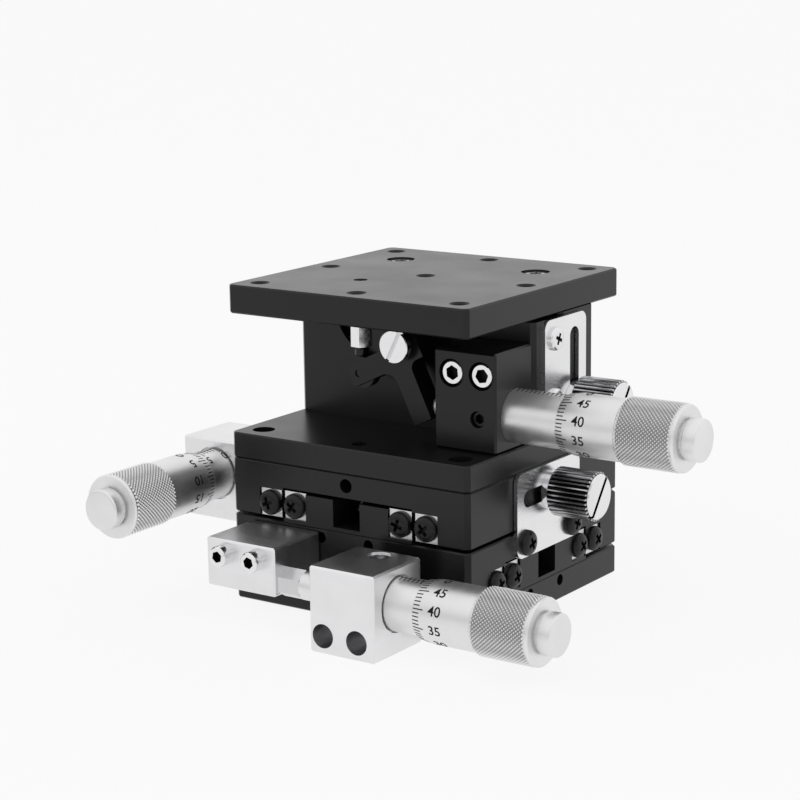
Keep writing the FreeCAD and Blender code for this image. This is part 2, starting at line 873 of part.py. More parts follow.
def head_spindle(tip_y, thimble_lip_y):
    """A micrometer's spindle from its tip to the thimble's head."""
    end = thimble_lip_y - thimble_plain_length - knurl_length + thimble_head_wall
    return rod(spindle_radius, (0, tip_y, 0), (0, end + contact_gap, 0))


def stage_lip():
    """Where a stage's thimble lip stands at mid travel, from the block's face."""
    return -mic_block_front - thimble_zero_gap - stage_travel


def at_stage_axis(shape, y=0.0):
    """A micrometer piece brought to a stage's axis, y along it."""
    return moved(shape, mic_axis_v, y, mic_axis_height)


def stage_sleeve():
    """A stage's sleeve, held in its block."""
    return at_stage_axis(head_sleeve(mic_block_length), -mic_block_front)


def stage_thimble():
    """A stage's thimble at mid travel."""
    return at_stage_axis(head_thimble(), stage_lip())


def stage_cap():
    """The button on a stage's thimble."""
    return at_stage_axis(head_cap(), stage_lip())


def stage_spindle():
    """A stage's spindle, just clear of its anvil."""
    tip = anvil_block_span()[0] - anvil_hex_length - contact_gap
    return at_stage_axis(head_spindle(tip, stage_lip()))


def rounded_plate(length, width, thickness, corner):
    """A sheet plate standing in the yz plane, centred on y, its top edge at z = 0."""
    plate = box(0, thickness, -length / 2, length / 2, -width, 0)
    corners = [edge for edge in plate.Edges if edge.BoundBox.YLength < 1e-6
               and edge.BoundBox.ZLength < 1e-6]
    return plate.makeFillet(corner, corners)


def round_slot(length, width, thickness):
    """The empty space of a slot along y through a sheet in the yz plane."""
    half = (length - width) / 2
    middle = box(-1, thickness + 1, -half, half, -width / 2, width / 2)
    ends = [rod(width / 2, (-1, y, 0), (thickness + 1, y, 0)) for y in (-half, half)]
    return middle.multiFuse(ends)


def lock_plate_top():
    """Height of the lock plate's top edge in the layer frame."""
    return lock_knob_height() + lock_slot_edge


def lock_knob_height():
    """The knob's axis, level with the web of the table that it locks."""
    return flange_height + table_underside - lock_knob_drop


def lock_plate():
    """The slotted strap fixed to the plate below and clamped on the table by the knob."""
    plate = rounded_plate(lock_plate_length, lock_plate_width, lock_plate_thickness, lock_plate_corner)
    plate = plate.cut(moved(round_slot(lock_slot_length, lock_slot_width, lock_plate_thickness),
                            z=-lock_slot_edge))
    relief_z = flange_height - lock_plate_top()
    plate = plate.cut(box(-1, lock_plate_relief, -lock_plate_length, lock_plate_length, relief_z, 1))
    plate = moved(plate, half_side, lock_plate_shift, lock_plate_top())
    radius = pan_shank_radius + screw_hole_fit
    h = lock_screw_height()
    for u in lock_screw_lines():
        plate = plate.cut(rod(radius, (half_side - 1, u, h), (half_side + lock_plate_thickness + 1, u, h)))
    return plate


def lock_screw_height():
    """Height of the lock plate's two screws in the layer frame."""
    return lock_plate_top() - lock_plate_width + lock_screw_edge


def lock_screw_lines():
    """The u places of the lock plate's two screws."""
    return [lock_plate_shift - lock_screw_spread / 2, lock_plate_shift + lock_screw_spread / 2]


def lock_plate_screw_holes():
    """Tapped holes for the lock plate in the plate below."""
    start = half_side + 1
    end = half_side - pan_shank_length + lock_plate_thickness
    h = lock_screw_height()
    return [rod(pan_shank_radius, (start, u, h), (end, u, h)) for u in lock_screw_lines()]


def lock_plate_screws():
    """The two screws of the lock plate."""
    seat = half_side + lock_plate_thickness
    h = lock_screw_height()
    return [pointed(pan_screw(), (1, 0, 0), (seat, u, h)) for u in lock_screw_lines()]


def lock_stem_hole():
    """The hole in a table for the lock knob's stem."""
    h = lock_knob_height()
    depth = half_side - lock_stem_depth
    return rod(lock_stem_radius + lock_stem_fit, (depth, 0, h), (half_side + 1, 0, h))


def knob():
    """A straight-knurled lock knob along +x, its collar starting at x = 0."""
    points = []
    radii = (knob_radius, knob_radius, knob_radius - knob_tooth_depth)
    for i in range(knob_teeth):
        for part_of_tooth, radius in zip(knob_tooth_edges, radii):
            angle = 2 * math.pi * (i + part_of_tooth) / knob_teeth
            points.append((knob_collar_length, radius * math.cos(angle), radius * math.sin(angle)))
    body = prism(points, (knob_length, 0, 0))
    end = knob_collar_length + knob_length
    bevel_start = (end - knob_bevel, 0, 0)
    barrel = rod(knob_radius + 1, (knob_collar_length, 0, 0), bevel_start)
    bevel = cone(knob_radius, knob_face_radius, bevel_start, (end, 0, 0))
    body = body.common(barrel.fuse(bevel))
    slot = box(end - knob_slot_depth, end + 1, -knob_radius - 1, knob_radius + 1,
               -knob_slot_width / 2, knob_slot_width / 2)
    body = body.cut(turned(slot, (1, 0, 0), knob_slot_turn))
    collar = rod(knob_collar_radius, (0, 0, 0), (knob_collar_length, 0, 0))
    stem_end = -lock_stem_depth - lock_plate_thickness - contact_gap + edge_break
    stem = rod(lock_stem_radius, (0, 0, 0), (stem_end, 0, 0))
    return joined([body, collar, stem])


def lock_knob():
    """A stage's lock knob against its plate."""
    place = half_side + lock_plate_thickness + contact_gap
    return moved(knob(), x=place, z=lock_knob_height())


def base_plate():
    """The flange with the X stage's bed on it and the bolting holes."""
    plate = square_plate(0, flange_height)
    plate = joined([plate, to_x_stage(layer_bed())])
    for hole in bed_holes(0):
        plate = plate.cut(to_x_stage(hole))
    for x, y in four_corners(mount_pitch):
        plate = plate.cut(tapped_hole(x, y, 0, flange_height + 1, mount_hole_radius))
    return joined([plate, to_x_stage(fixed_spring_pin())])


def fixed_spring_pin():
    """The spring pin of a stage's bed."""
    return spring_pins()[0]


def x_table():
    """The middle plate: a table below and the Y stage's bed above."""
    table = to_x_stage(layer_table())
    table = joined([table, to_y_stage(layer_bed())])
    for hole in bed_holes(upper_block_rise):
        table = table.cut(to_y_stage(hole))
    return joined([table, to_x_stage(spring_pins()[1]), to_y_stage(fixed_spring_pin())])


def y_table():
    """The upper plate, with the holes that carry the lift."""
    table = to_y_stage(layer_table())
    web = y_layer + flange_height + table_underside
    for x, y in four_corners(mount_pitch):
        table = table.cut(rod(mount_hole_radius, (x, y, web - 1), (x, y, y_table_top + 1)))
    for x, y in lift_base_screw_places():
        radius = small_cap_shank_radius + screw_hole_fit
        table = table.cut(rod(radius, (x, y, web - 1), (x, y, y_table_top + 1)))
        wide = small_cap_head_radius + counterbore_gap
        table = table.cut(rod(wide, (x, y, web - 1), (x, y, web + small_cap_head_height)))
    return joined([table, to_y_stage(spring_pins()[1])])


def lift_base_screw_places():
    """Four screws that draw the lift's base down from under the table's web."""
    return [(sx * lift_base_screw_x, sy * lift_base_screw_y) for sx in (-1, 1) for sy in (-1, 1)]


def column_screw_places():
    """Two screws that hold the fixed column, one under each of its legs."""
    x = (leg_start + half_side) / 2
    y = (fixed_column_front + lift_bed_h0 - layer_gap) / 2
    return [(-x, y), (x, y)]


def lift_base_plate():
    """The plate that the lift is built on."""
    plate = square_plate(y_table_top, lift_floor)
    for x, y in four_corners(mount_pitch):
        plate = plate.cut(rod(lift_base_hole_radius, (x, y, y_table_top - 1), (x, y, lift_floor + 1)))
    front_row = -mount_pitch / 2
    plate = plate.cut(rod(mount_hole_radius, (0, front_row, y_table_top - 1), (0, front_row, lift_floor + 1)))
    for x, y in lift_base_screw_places():
        plate = plate.cut(rod(small_cap_shank_radius, (x, y, y_table_top - 1),
                              (x, y, y_table_top + lift_base_screw_bite)))
    for x, y in column_screw_places():
        radius = cap_shank_radius + screw_hole_fit
        plate = plate.cut(rod(radius, (x, y, y_table_top - 1), (x, y, lift_floor + 1)))
        wide = cap_head_radius + counterbore_gap
        plate = plate.cut(rod(wide, (x, y, y_table_top - 1), (x, y, y_table_top + cap_head_height)))
    return plate


def lift_screws():
    """The screws under the lift: four in its base and two in the fixed column."""
    web = y_layer + flange_height + table_underside
    seat = web + small_cap_head_height
    length = y_table_top + lift_base_screw_bite - seat
    small = cap_screw(small_cap_head_radius, small_cap_head_height, small_cap_shank_radius, length)
    solids = [pointed(small, (0, 0, -1), (x, y, seat)) for x, y in lift_base_screw_places()]
    seat = y_table_top + cap_head_height
    length = lift_floor + column_screw_bite - seat
    large = cap_screw(cap_head_radius, cap_head_height, cap_shank_radius, length)
    solids += [pointed(large, (0, 0, -1), (x, y, seat)) for x, y in column_screw_places()]
    return solids


def to_lift(shape):
    """A layer-frame shape stood on end: v stays x, h points to -y and u becomes z."""
    upright = turned(shape, (1, 0, 0), 90)
    return moved(upright, y=lift_bed_h0)


def fixed_column():
    """The lift's front column, a table section stood on end."""
    z0 = lift_floor
    z1 = fixed_column_top
    depth = lift_bed_h0 - layer_gap - fixed_column_front
    body = box(-half_side, half_side, fixed_column_front, fixed_column_front + depth, z0, z1)
    corners = [edge for edge in body.Edges if edge.BoundBox.XLength < 1e-6
               and edge.BoundBox.YLength < 1e-6]
    body = body.makeChamfer(corner_chamfer, corners)
    hollow = to_lift(table_hollow(z0 - 1, z1 + 1))
    body = body.cut(hollow)
    low, high = lift_rail_span(z0, z1)
    for hole in rail_screw_holes(rail_outer_start, False, low, high, False):
        body = body.cut(to_lift(hole))
    pocket = rod(pocket_radius, (pocket_x, fixed_column_front - 1, lift_top),
                 (pocket_x, fixed_column_front + pocket_depth, lift_top))
    body = body.cut(pocket)
    body = body.cut(pivot_hole())
    for x, y in column_screw_places():
        body = body.cut(rod(cap_shank_radius, (x, y, z0 - 1), (x, y, z0 + column_screw_bite)))
    for hole in z_block_screw_holes():
        body = body.cut(hole)
    for hole in z_lock_screw_holes():
        body = body.cut(hole)
    return joined([body, low_spring_pin()])


def lift_rail_span(low, high):
    """The z span of a pair of lift rails inside its column."""
    return low + rail_end_inset, high - rail_end_inset


def moving_column():
    """The lift's rear column, a bed section stood on end, which carries the top plate."""
    z0 = lift_floor + layer_gap + lift_down
    z1 = lift_top
    body = box(-half_side, half_side, lift_bed_h0, moving_column_back, z0, z1)
    corners = [edge for edge in body.Edges if edge.BoundBox.XLength < 1e-6
               and edge.BoundBox.YLength < 1e-6]
    body = body.makeChamfer(corner_chamfer, corners)
    body = joined([body, to_lift(bed_section(z0, z1))])
    low, high = lift_rail_span(z0, z1)
    for hole in rail_screw_holes(rail_inner_edge, True, low, high, True):
        body = body.cut(to_lift(hole))
    for x in (-top_screw_spread / 2, top_screw_spread / 2):
        body = body.cut(rod(cap_shank_radius, (x, top_screw_row, z1 - top_screw_bite),
                            (x, top_screw_row, z1 + 1)))
    stem = rod(lock_stem_radius + lock_stem_fit, (half_side - lock_stem_depth, z_lock_knob_y(),
                                                  z_lock_knob_height),
               (half_side + 1, z_lock_knob_y(), z_lock_knob_height))
    body = body.cut(stem)
    return joined([body, high_spring_pin()])


def z_lock_knob_y():
    """The lift's lock knob stands beside the joint between the two columns."""
    return z_lock_plate_front + z_lock_plate_width - lock_slot_edge + z_lock_knob_shift


def low_spring_pin():
    """The fixed column's spring pin, which reaches into the rear column's channel."""
    y = lift_spring_line()
    start = lift_bed_h0 - table_underside - lift_pin_root
    end = y + spring_pin_past
    return rod(spring_pin_radius, (0, start, z_spring_low_pin), (0, end, z_spring_low_pin))


def high_spring_pin():
    """The rear column's spring pin, across its channel."""
    start = lift_spring_line() - spring_pin_past
    end = lift_bed_h0 - rail_bottom + lift_pin_root
    return rod(spring_pin_radius, (0, start, z_spring_high_pin), (0, end, z_spring_high_pin))


def lift_spring_line():
    """The y of the lift spring's axis, in the middle of the rear column's channel."""
    return lift_bed_h0 - rail_bottom - rail_height / 2


def lift_spring():
    """The lift's return spring, hooked on both pins."""
    spring = return_spring(z_spring_high_pin - z_spring_low_pin)
    upright = turned(spring, (1, 0, 0), 90)
    return moved(upright, y=lift_spring_line(), z=z_spring_low_pin)


def top_plate():
    """The platform with its tapped holes."""
    plate = square_plate(lift_top, platform_top)
    places = four_corners(mount_pitch)
    half = mount_pitch / 2
    places += [(0, -half), (0, half), (-half, 0), (half, 0), (0, 0)]
    for x, y in places:
        plate = plate.cut(tapped_hole(x, y, platform_top, lift_top - 1, mount_hole_radius))
    for x in (-top_screw_spread / 2, top_screw_spread / 2):
        radius = cap_shank_radius + screw_hole_fit
        plate = plate.cut(rod(radius, (x, top_screw_row, lift_top - 1), (x, top_screw_row, platform_top)))
        wide = cap_head_radius + top_counterbore_gap
        seat = platform_top - cap_head_height - top_screw_sink
        plate = plate.cut(rod(wide, (x, top_screw_row, seat), (x, top_screw_row, platform_top + 1)))
    return plate.cut(rod(anvil_stud_radius, (lift_anvil_x, z_mic_plane, lift_top - 1),
                         (lift_anvil_x, z_mic_plane, platform_top + 1)))


def top_plate_screws():
    """The two sunk screws that hold the platform."""
    seat = platform_top - cap_head_height - top_screw_sink
    length = seat - lift_top + top_screw_bite
    screw = cap_screw(cap_head_radius, cap_head_height, cap_shank_radius, length)
    return [pointed(screw, (0, 0, 1), (x, top_screw_row, seat))
            for x in (-top_screw_spread / 2, top_screw_spread / 2)]


def lift_anvil():
    """The hexagonal post under the platform, which the lever's roller pushes up."""
    start = (lift_anvil_x, z_mic_plane, lift_anvil_bottom)
    bar = hex_bar(lift_anvil_flats, start, "z", lift_top - lift_anvil_bottom, lift_anvil_turn)
    flat_radius = lift_anvil_flats / 2
    full_radius = flat_radius + lift_anvil_bevel
    bevel_end = (lift_anvil_x, z_mic_plane, lift_anvil_bottom + lift_anvil_bevel)
    bevel = cone(flat_radius - lift_anvil_bevel / 2, full_radius, start, bevel_end)
    bar = bar.common(bevel.fuse(rod(full_radius, bevel_end, (lift_anvil_x, z_mic_plane, lift_top))))
    stud = rod(anvil_stud_radius, (lift_anvil_x, z_mic_plane, lift_top - edge_break),
               (lift_anvil_x, z_mic_plane, platform_top - edge_break))
    tip = rod(lift_anvil_tip_radius, (lift_anvil_x, z_mic_plane, anvil_tip_low), start)
    tip = broken_edges(tip, edge_break, level_edges([anvil_tip_low]))
    return joined([bar, stud, tip])


def z_block():
    """The lift's micrometer block, bolted on the front column."""
    z1 = lift_floor + z_block_height
    block = box(z_block_left, z_block_right, z_block_front, fixed_column_front, lift_floor, z1)
    block = block.makeChamfer(block_edge_break, block.Edges)
    axis = (z_mic_plane, z_mic_height)
    block = block.cut(rod(stem_radius + stem_fit, (z_block_left - 1, axis[0], axis[1]),
                          (z_block_right + 1, axis[0], axis[1])))
    block = block.cut(rod(sleeve_radius + stem_fit, (z_block_right - sleeve_recess_depth, axis[0], axis[1]),
                          (z_block_right + 1, axis[0], axis[1])))
    for hole in z_block_screw_holes():
        block = block.cut(hole)
    for x in z_block_screw_lines():
        wide = cap_head_radius + counterbore_gap
        block = block.cut(rod(wide, (x, z_block_front - 1, z_block_screw_height),
                              (x, z_block_front + cap_head_height, z_block_screw_height)))
    x = z_clamp_screw_x()
    return block.cut(rod(z_clamp_screw_radius + screw_hole_fit, (x, z_block_front - 1, z_mic_height),
                         (x, z_mic_plane, z_mic_height)))


def z_clamp_screw_x():
    """The x of the lift block's clamp screw."""
    return z_block_right - z_clamp_screw_inset


def z_block_screw_lines():
    """The x places of the lift block's two screws."""
    middle = (z_block_left + z_block_right) / 2 + z_block_screw_shift
    return [middle - z_block_screw_spread / 2, middle + z_block_screw_spread / 2]


def z_block_screw_holes():
    """Screw holes through the lift block and into the front column."""
    radius = cap_shank_radius + screw_hole_fit
    end = fixed_column_front + z_block_screw_bite
    return [rod(radius, (x, z_block_front - 1, z_block_screw_height), (x, end, z_block_screw_height))
            for x in z_block_screw_lines()]


def z_block_screws():
    """Two cap screws in counterbores and the small clamp screw below them."""
    seat = z_block_front + cap_head_height
    length = fixed_column_front + z_block_screw_bite - seat
    screw = cap_screw(cap_head_radius, cap_head_height - edge_break, cap_shank_radius, length)
    solids = [pointed(screw, (0, -1, 0), (x, seat, z_block_screw_height)) for x in z_block_screw_lines()]
    x = z_clamp_screw_x()
    start = z_block_front + z_clamp_screw_sink
    body = rod(z_clamp_screw_radius, (x, start, z_mic_height), (x, z_mic_plane - stem_radius, z_mic_height))
    mouth = (x, start - 1, z_mic_height)
    socket = hex_bar(z_clamp_socket_flats, mouth, "y", 1 + cap_socket_depth, turn=30.0)
    solids.append(body.cut(socket))
    return solids


def to_z_axis(shape):
    """A micrometer piece drawn along -y, turned to point along +x on the lift's axis."""
    return moved(turned(shape, (0, 0, 1), 90), z_block_right, z_mic_plane, z_mic_height)


def z_lip():
    """The lift thimble's lip, out from the block's face, at the rest height."""
    return -thimble_zero_gap - lift_reading


def z_sleeve():
    """The lift's sleeve."""
    return to_z_axis(head_sleeve(z_block_right - z_block_left))


def z_thimble():
    """The lift's thimble at the rest height."""
    return to_z_axis(moved(head_thimble(), y=z_lip()))


def z_cap():
    """The button on the lift's thimble."""
    return to_z_axis(moved(head_cap(), y=z_lip()))


def arm_contact_x():
    """Where the spindle's domed tip stands when it touches the tilted lever arm."""
    drop = pivot_z - z_mic_height
    face = pivot_x + lever_arm_face_offset / tilt_cos + drop * tilt_sin / tilt_cos
    return face + spindle_dome_radius * (1 / tilt_cos - 1) + lever_tip_gap


def z_spindle():
    """The lift's spindle, with a domed tip for the lever arm."""
    tip = z_block_right - arm_contact_x()
    shaft = head_spindle(tip, z_lip())
    start = tip - spindle_dome_radius
    ball = Part.makeSphere(spindle_dome_radius, V(0, start, 0))
    keep = joined([rod(spindle_radius, (0, start, 0), (0, -plate_side * 2, 0)), ball])
    return to_z_axis(shaft.common(keep))


def lever_point(along, up):
    """A point of the lever, along its bar from the pivot and up across it."""
    x = pivot_x + along * tilt_cos - up * tilt_sin
    z = pivot_z + along * tilt_sin + up * tilt_cos
    return x, lever_front, z


def lever():
    """The bell crank: a bar, an arm at a right angle and a round boss on the pivot."""
    low = -lever_bar_below_pivot
    high = low + lever_bar_width
    face = lever_arm_face_offset
    inner = face - lever_arm_width
    outline = [(-lever_bar_reach, low), (inner, low), (inner, -lever_arm_reach),
               (face, -lever_arm_reach), (face, low), (lever_bar_tail, low),
               (lever_bar_tail, high), (-lever_bar_reach, high)]
    body = prism([lever_point(along, up) for along, up in outline], (0, lever_thickness, 0))
    for along, fillet in ((inner, lever_inner_fillet), (face, lever_outer_fillet)):
        crook = V(*lever_point(along, low))
        edges = [edge for edge in body.Edges if is_edge_through(edge, crook)]
        body = body.makeFillet(fillet, edges)
    boss = rod(lever_boss_radius, (pivot_x, lever_front, pivot_z), (pivot_x, lever_back, pivot_z))
    body = joined([body, boss])
    hole = rod(pivot_shaft_radius + pivot_fit, (pivot_x, lever_front - 1, pivot_z),
               (pivot_x, lever_back + 1, pivot_z))
    body = body.cut(hole)
    half_slot = lift_roller_width / 2 + lift_roller_slot_gap
    reach = lift_roller_radius + lift_roller_slot_gap * 2
    slot = rod(reach, (lift_roller_x, z_mic_plane - half_slot, lift_roller_z),
               (lift_roller_x, z_mic_plane + half_slot, lift_roller_z))
    body = body.cut(slot)
    pin_hole = lift_roller_pin_radius + sliding_fit
    return body.cut(rod(pin_hole, (lift_roller_x, lever_front - 1, lift_roller_z),
                        (lift_roller_x, lever_back + 1, lift_roller_z)))


def is_edge_through(edge, point):
    """True for an edge that starts or ends at a point and runs along y."""
    span = edge.BoundBox
    along_y = span.XLength < 1e-6 and span.ZLength < 1e-6
    return along_y and any(vertex.Point.isEqual(point, 1e-4) for vertex in edge.Vertexes)


def lever_roller():
    """The roller in the bar's fork, in one piece with the pins it turns on."""
    half = lift_roller_width / 2
    wheel = rod(lift_roller_radius, (lift_roller_x, z_mic_plane - half, lift_roller_z),
                (lift_roller_x, z_mic_plane + half, lift_roller_z))
    pin = rod(lift_roller_pin_radius, (lift_roller_x, lever_front + edge_break, lift_roller_z),
              (lift_roller_x, lever_back - edge_break, lift_roller_z))
    return joined([wheel, pin])


def pivot_hole():
    """The tapped hole for the lever's shoulder screw."""
    end = fixed_column_front + pivot_thread_length
    return rod(cap_shank_radius, (pivot_x, fixed_column_front - 1, pivot_z), (pivot_x, end, pivot_z))


def pivot_screw():
    """The slotted shoulder screw that the lever turns on."""
    head_back = lever_front - pivot_washer_thickness
    head_front = head_back - pivot_head_height
    head = rod(pivot_head_radius, (pivot_x, head_front, pivot_z), (pivot_x, head_back, pivot_z))
    slot = box(pivot_x - pivot_head_radius, pivot_x + pivot_head_radius, head_front - 1,
               head_front + pivot_slot_depth, pivot_z - pivot_slot_width / 2, pivot_z + pivot_slot_width / 2)
    slot = turned(slot, (0, 1, 0), pivot_slot_turn, (pivot_x, 0, pivot_z))
    head = head.cut(slot)
    shaft = rod(pivot_shaft_radius, (pivot_x, head_back, pivot_z), (pivot_x, fixed_column_front, pivot_z))
    thread = rod(cap_shank_radius, (pivot_x, fixed_column_front, pivot_z),
                 (pivot_x, fixed_column_front + pivot_thread_length, pivot_z))
    return joined([head, shaft, thread])


def pivot_bush():
    """The spacing bush behind the lever and the thin washer in front of it."""
    hole = rod(pivot_shaft_radius + stem_fit, (pivot_x, lever_front - 2, pivot_z),
               (pivot_x, fixed_column_front + 1, pivot_z))
    bush = rod(pivot_washer_radius, (pivot_x, lever_back + contact_gap, pivot_z),
               (pivot_x, fixed_column_front, pivot_z)).cut(hole)
    washer = rod(pivot_washer_radius, (pivot_x, lever_front - pivot_washer_thickness, pivot_z),
                 (pivot_x, lever_front - contact_gap, pivot_z)).cut(hole)
    return [bush, washer]


def z_lock_plate():
    """The upright lock strap, fixed on the front column and slotted for the knob."""
    width = z_lock_plate_width
    plate = box(0, lock_plate_thickness, 0, width, -z_lock_plate_length, 0)
    corners = [edge for edge in plate.Edges if edge.BoundBox.YLength < 1e-6
               and edge.BoundBox.ZLength < 1e-6]
    plate = plate.makeFillet(lock_plate_corner, corners)
    plate = moved(plate, half_side, z_lock_plate_front, fixed_column_top)
    slot = turned(round_slot(z_lock_slot_length, lock_slot_width, lock_plate_thickness), (1, 0, 0), 90)
    low = z_lock_knob_height - lift_down - lock_slot_width / 2
    plate = plate.cut(moved(slot, half_side, z_lock_knob_y(), low + z_lock_slot_length / 2))
    relief_y = lift_bed_h0 - layer_gap / 2
    plate = plate.cut(box(half_side - 1, half_side + lock_plate_relief, relief_y, plate_side,
                          lift_floor, platform_top))
    for hole in z_lock_screw_holes():
        plate = plate.cut(hole)
    return plate


def z_lock_screw_y():
    """The lift's lock plate is screwed to the middle of the fixed column's leg."""
    return (lift_rail_front + lift_bed_h0 - layer_gap) / 2 + z_lock_screw_shift


def z_lock_screw_holes():
    """Holes for the lift's lock plate screws."""
    start = half_side + lock_plate_thickness + 1
    end = half_side - pan_shank_length + lock_plate_thickness
    y = z_lock_screw_y()
    return [rod(pan_shank_radius, (start, y, z), (end, y, z))
            for z in (z_lock_screw_height, z_lock_foot_screw_height)]


def z_lock_plate_screws():
    """The two screws of the lift's lock plate."""
    seat = half_side + lock_plate_thickness
    y = z_lock_screw_y()
    return [pointed(pan_screw(), (1, 0, 0), (seat, y, z))
            for z in (z_lock_screw_height, z_lock_foot_screw_height)]


def z_lock_knob():
    """The lift's lock knob against its plate."""
    place = half_side + lock_plate_thickness + contact_gap
    return moved(knob(), place, z_lock_knob_y(), z_lock_knob_height)


def with_end_holes(rails, v_start, u0, u1):
    """Rails with the tapped holes of their end screws."""
    holes = rail_end_screw_holes(v_start, u0, u1)
    return [one.cut(group(holes)) for one in rails]


def build_stage(name, place, rise):
    """The pieces that both stages have, with the micrometer raised by rise."""
    u0 = -rail_length / 2
    u1 = rail_length / 2
    inner = with_end_holes(inner_rails(u0, u1), rail_inner_edge, u0, u1)
    outer = with_end_holes(outer_rails(u0, u1), rail_outer_start, u0, u1)

    def raised(shapes):
        return [moved(shape, z=flange_height) for shape in shapes]

    def place_all(shapes):
        return group([place(shape) for shape in shapes])

    parts[name + "_inner_rails"] = place_all(raised(inner))
    parts[name + "_outer_rails"] = place_all(raised(outer))
    parts[name + "_roller_cages"] = place_all(raised(roller_cages(rollers_per_cage, roller_pitch)))
    raised_pieces = {"_micrometer_block": mic_block(), "_block_screws": group(mic_block_screws()),
                     "_sleeve": stage_sleeve(), "_spindle": stage_spindle(),
                     "_thimble": stage_thimble(), "_thimble_cap": stage_cap(), "_anvil": hex_anvil()}
    for ending, shape in raised_pieces.items():
        parts[name + ending] = place(moved(shape, z=rise))
    parts[name + "_anvil_block"] = place(anvil_block(mic_axis_height + rise))
    parts[name + "_anvil_screws"] = place_all(anvil_block_screws())
    parts[name + "_lock_plate"] = place(lock_plate())
    parts[name + "_lock_knob"] = place(lock_knob())
    parts[name + "_return_spring"] = place(layer_spring())


def stage_fixed_screws(place):
    """The black screws of a stage's fixed side: rails, rail ends and lock plate."""
    u0 = -rail_length / 2
    u1 = rail_length / 2
    shapes = inner_rail_screws(u0, u1) + rail_end_screws(rail_inner_edge, u0, u1)
    shapes = [moved(shape, z=flange_height) for shape in shapes] + lock_plate_screws()
    return [place(shape) for shape in shapes]


def stage_table_screws(place):
    """The black screws of a stage's moving side: rails and rail ends."""
    u0 = -rail_length / 2
    u1 = rail_length / 2
    shapes = outer_rail_screws(u0, u1) + rail_end_screws(rail_outer_start, u0, u1)
    return [place(moved(shape, z=flange_height)) for shape in shapes]


def build_lift():
    """The lift's own pieces."""
    outer_low, outer_high = lift_rail_span(lift_floor, fixed_column_top)
    inner_low, inner_high = lift_rail_span(lift_floor + layer_gap + lift_down, lift_top)
    parts["lift_base_plate"] = lift_base_plate()
    parts["fixed_column"] = fixed_column()
    parts["z_outer_rails"] = group([to_lift(s) for s in outer_rails(outer_low, outer_high)])
    parts["z_inner_rails"] = group([to_lift(s) for s in inner_rails(inner_low, inner_high)])
    cages = roller_cages(lift_rollers_per_cage, lift_roller_pitch)
    middle = (outer_low + inner_high) / 2
    parts["z_roller_cages"] = group([to_lift(moved(s, y=middle)) for s in cages])
    parts["moving_column"] = moving_column()
    parts["top_plate"] = top_plate()
    parts["lift_anvil"] = lift_anvil()
    parts["z_micrometer_block"] = z_block()
    parts["z_block_screws"] = group(z_block_screws())
    parts["z_sleeve"] = z_sleeve()
    parts["z_spindle"] = z_spindle()
    parts["z_thimble"] = z_thimble()
    parts["z_thimble_cap"] = z_cap()
    parts["lever"] = lever()
    parts["lever_roller"] = lever_roller()
    parts["lever_pivot_screw"] = pivot_screw()
    parts["lever_pivot_bush"] = group(pivot_bush())
    parts["z_lock_plate"] = z_lock_plate()
    parts["z_lock_plate_screws"] = group(z_lock_plate_screws())
    parts["z_lock_knob"] = z_lock_knob()
    parts["z_return_spring"] = lift_spring()
    parts["lift_screws"] = group(lift_screws())
    moving_screws = [to_lift(s) for s in inner_rail_screws(inner_low, inner_high)]
    parts["carriage_screws"] = group(top_plate_screws() + moving_screws)
    return [to_lift(s) for s in outer_rail_screws(outer_low, outer_high)]


build_stage("x", to_x_stage, 0)
build_stage("y", to_y_stage, upper_block_rise)
column_rail_screws = build_lift()
parts["base_plate"] = base_plate()
parts["x_table"] = x_table()
parts["y_table"] = y_table()
parts["base_screws"] = group(stage_fixed_screws(to_x_stage))
parts["x_table_screws"] = group(stage_table_screws(to_x_stage) + stage_fixed_screws(to_y_stage))
parts["y_table_screws"] = group(stage_table_screws(to_y_stage) + column_rail_screws)

os.makedirs("parts", exist_ok=True)
for node, shape in parts.items():
    shape.exportStep(os.path.join("parts", node + ".step"))
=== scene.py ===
"""Looks of the three-axis translation stage, laid out as a Blender add-on.

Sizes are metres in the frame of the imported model. A micrometer piece is drawn once along +x with
the thimble's lip or the block's face at x = 0, and is then copied onto each head's axis.
"""
import json
import math

import bpy
from mathutils import Matrix, Vector

